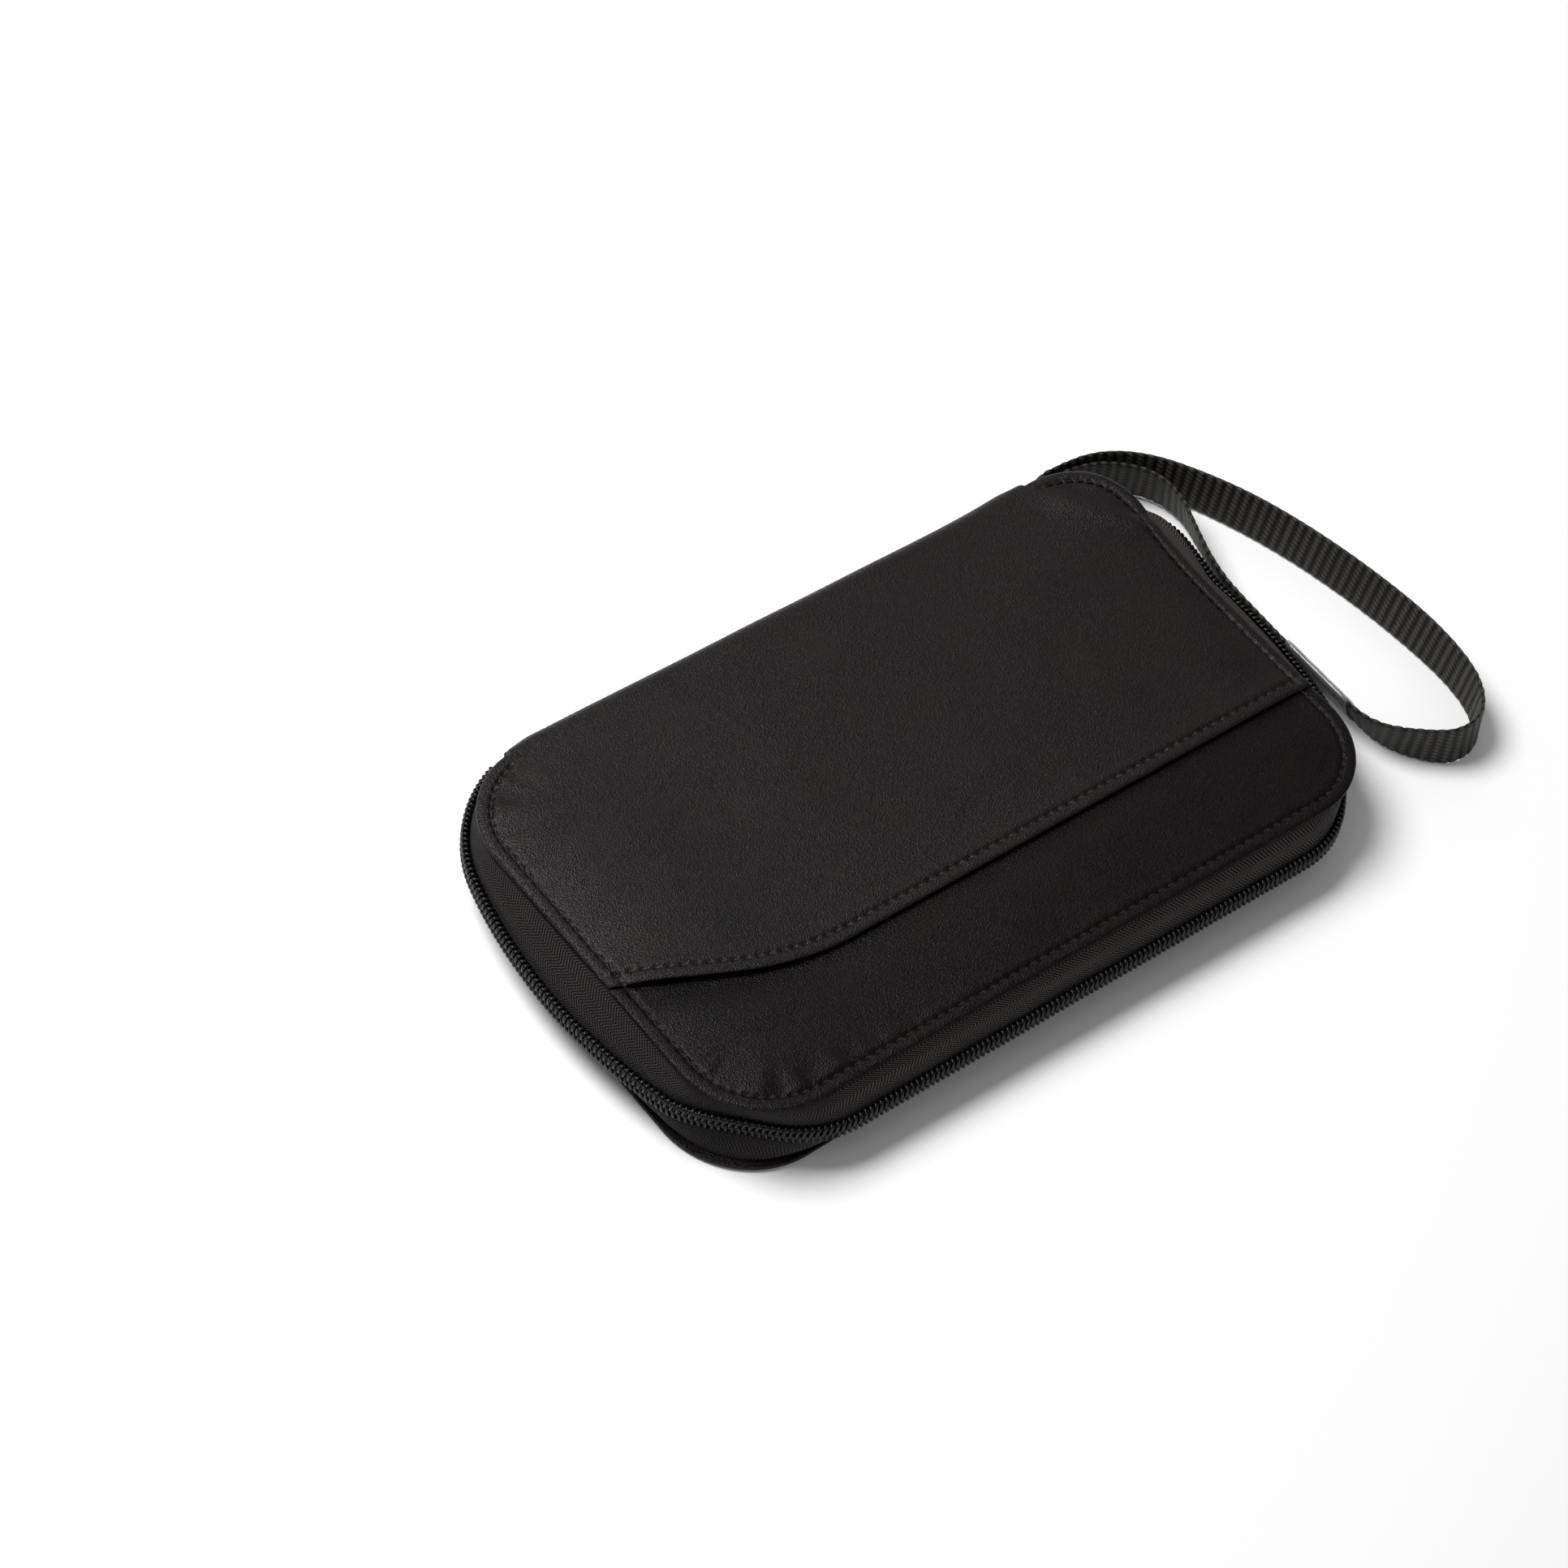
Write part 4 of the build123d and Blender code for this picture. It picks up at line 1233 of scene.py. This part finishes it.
def make_padding(material):
    """The foam under each cover's leather; the front one stops at the lap seam."""
    radius = COVER_RADIUS - PADDING_INSET
    for side in ("front", "back"):
        low, high, *_ = node_limits("back_padding")
        edges, distance = rounded_edges(low, high, radius), rounded_distance(low, high, radius)
        if side == "front":
            lap = seam_edges(SEAM_LAP + PADDING_GAP, high[0])
            left, right = lap[0](0.0)[0], lap[2](1.0)[0]
            whole = distance
            distance = lambda x, y: np.minimum(whole(x, y), seam_distance(x, y) - SEAM_LAP - PADDING_GAP)
            edges = [line_edge(right, (high[0], high[1] - radius)), *edges[2:5],
                     line_edge((low[0], high[1] - radius), left), *lap]

        def cells(x, y):
            return 0.06 + 0.06 * noise_at(x / 3.1, y / 3.1, 4.4)

        pad, _ = soft_layer(f"{side}_foam", f"{side}_padding", edges, distance, cells, material, "foam",
                            f"{side}_half", side == "front", rim=0.4)


def make_linings(material):
    """The cloth glued over each board: slack by a hair, and pulled in along a seam beside its edge."""
    for side in ("front", "back"):
        low, high, *_ = node_limits(f"{side}_lining")
        outline = low, high, COVER_RADIUS - LINING_INSET
        distance = rounded_distance(*outline)

        def slack(x, y):
            ripple = 0.5 + 0.5 * noise_at(x / 19, y / 11, 2.2)
            return 0.1 * ripple + 0.12 * hump(distance(x, y), 3.0, 0.7)

        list(soft_layer(f"{side}_lining_cloth", f"{side}_lining", rounded_edges(*outline), distance,
                                  slack, material, "lining", f"{side}_half", side == "back", rim=0.5))


def pocket_relief(distance, open_edge):
    """A pocket's face: a furrow along the stitches and a folded hem's step beside its open edge."""
    def relief(x, y):
        inside = distance(x, y)
        seam = 0.2 * hump(inside, POCKET_STITCH, 0.45)
        past_hem = 0.12 * smooth_step((open_edge - x - 7.0) / 0.8)
        loose = 0.07 * (0.5 + 0.5 * noise_at(x / 13, y / 21, 7.7)) * smooth_step((inside - 4) / 5)
        return seam + past_hem + loose

    return relief


def stitched_path(corners, z, up):
    """Stitches along straight runs between corners, at one height."""
    parts = []
    for start, end in zip(corners, corners[1:]):
        start, end = np.array([*start, z]), np.array([*end, z])
        count = max(1, round(np.linalg.norm(end - start) / STITCH_PITCH))
        step = (end - start) / count
        parts += [stitch(start + step * (i + 0.12), start + step * (i + 0.88), up, POCKET_THREAD_RADIUS)
                  for i in range(count)]
    return parts


def make_pockets(material, thread):
    """The ticket pocket and stepped card slots of the front half, and the back half's two pockets."""
    front = ["ticket_pocket", "card_slot_1", "card_slot_2", "card_slot_3", "card_slot_4"]
    back = ["document_pocket", "passport_pocket_panel"]
    for body, nodes, face_up in (("front_half", front, False), ("back_half", back, True)):
        parts = []
        for node, above in zip(nodes, [*nodes[1:], None]):
            low, high, bottom, top = node_limits(node)
            outline = low, high, POCKET_CORNER
            distance = rounded_distance(*outline)
            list(soft_layer(f"{node}_leather", node, rounded_edges(*outline), distance,
                                      pocket_relief(distance, high[0]), material, "pocket_leather", body,
                                      face_up, rim=0.34))
            (left, front_y), (mouth, back_y) = low + POCKET_STITCH, high - POCKET_STITCH
            if above:
                left = node_limits(above)[1][0] + 1.2
            corners = [(left, front_y), (mouth, front_y), (mouth, back_y), (left, back_y)]
            if above is None:
                corners.append(corners[0])
            parts += stitched_path(corners, top - 0.24 if face_up else bottom + 0.24, UP if face_up else -UP)
        piece(f"{body}_pocket_stitches", *joined(parts), thread, "pocket_leather", body)


def make_welt(material):
    """The passport pocket's gusset: a cloth wall on three sides, folded into two soft pleats."""
    low, high, bottom, top = node_limits("passport_pocket_welt")
    share = np.linspace(0, 1, 41)
    z = bottom + (top - bottom) * share
    pleat = 0.3 + 2.4 * np.abs(np.sin(2 * math.pi * share))
    corner, wall = 3.0, 0.5
    left, front, right, back = low[0] + 0.2, low[1] + 0.2, high[0], high[1] - 0.2
    run = [
        line_edge((right, back), (left + corner, back)),
        arc_edge((left + corner, back - corner), corner, 90, 90),
        line_edge((left, back - corner), (left, front + corner)),
        arc_edge((left + corner, front + corner), corner, 180, 90),
        line_edge((left + corner, front), (right, front)),
    ]
    path, normals = sampled(run, LAYER_STEP)
    wave = 0.1 * noise_at(np.arange(len(path)) / 6.0, 0.0, 9.1)
    faces = []
    for depth in (0.0, wall):
        flat = path[:, None] - ((pleat + depth)[None, :] + wave[:, None])[..., None] * normals[:, None]
        faces.append(np.dstack([flat, np.broadcast_to(z, flat.shape[:2])]))
    points, sides = closed_tube(two_faced(*faces), turned=True)
    welt = piece("passport_gusset", points, sides, material, "lining", "back_half")
    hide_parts("passport_pocket_welt")


def make_spine_lining(material):
    """The cloth strip inside the spine: upright, slightly hollow, with rolled long edges."""
    low, high, bottom, top = node_limits("spine_lining")
    rows = 22
    x, z = np.meshgrid(np.linspace(low[0], high[0], 120), np.linspace(bottom, top, rows), indexing="ij")
    share = np.linspace(-1, 1, rows)
    half = 0.25 * (1 - np.abs(share) ** 12) ** 0.5 + 0.02
    middle = (low[1] + high[1]) / 2 + 0.08 * noise_at(x / 14, z / 6, 1.1) + 0.1 * (1 - share**2)
    rings = two_faced(np.dstack([x, middle - half, z]), np.dstack([x, middle + half, z]))
    cloth = piece("spine_lining_cloth", *closed_tube(rings), material, "lining", "spine")
    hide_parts("spine_lining")


# ---- the CAD nodes that stay


def dress(names, material, bevel_width):
    """A material and a small bevel on the sharp edges of CAD nodes."""
    for name in names:
        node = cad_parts[name]
        node.data.materials.clear()
        node.data.materials.append(material)
        bevel = node.modifiers.new("soft_edges", "BEVEL")
        bevel.width, bevel.segments = bevel_width, 2
        bevel.limit_method, bevel.angle_limit = "ANGLE", math.radians(40)


make_camera()
make_strap(webbing_material(), clear_material())
make_studio()

leather = leather_material("black_leather", (0.0016, 0.0014, 0.0015), (0.0105, 0.0052, 0.0054),
                           (0.25, 0.37), 0.17)
# Painted shade: the lower panel is the same leather as the upper, drawn darker and less shiny.
shaded_lower_leather = leather_material("shaded_lower_leather", (0.0012, 0.001, 0.0011), (0.0065, 0.0034, 0.0034),
                                 (0.24, 0.34), 0.11)
pocket_leather = leather_material("pocket_leather", (0.003, 0.0027, 0.0027), (0.011, 0.0075, 0.0072),
                                  (0.42, 0.56))
thread, lining = thread_material(), lining_material()
make_covers(leather, shaded_lower_leather)
make_cover_stitches(thread)
make_zip(herringbone_material(), nylon_material())
make_end_tabs(leather)
make_padding(foam_material())
make_linings(lining)
make_spine_lining(lining)
make_welt(lining)
make_pockets(pocket_leather, thread)
dress(["front_board", "back_board", "spine_board"], board_material(), 0.0002)
dress(["slider_body", "slider_pull"], metal_material(), 0.00035)
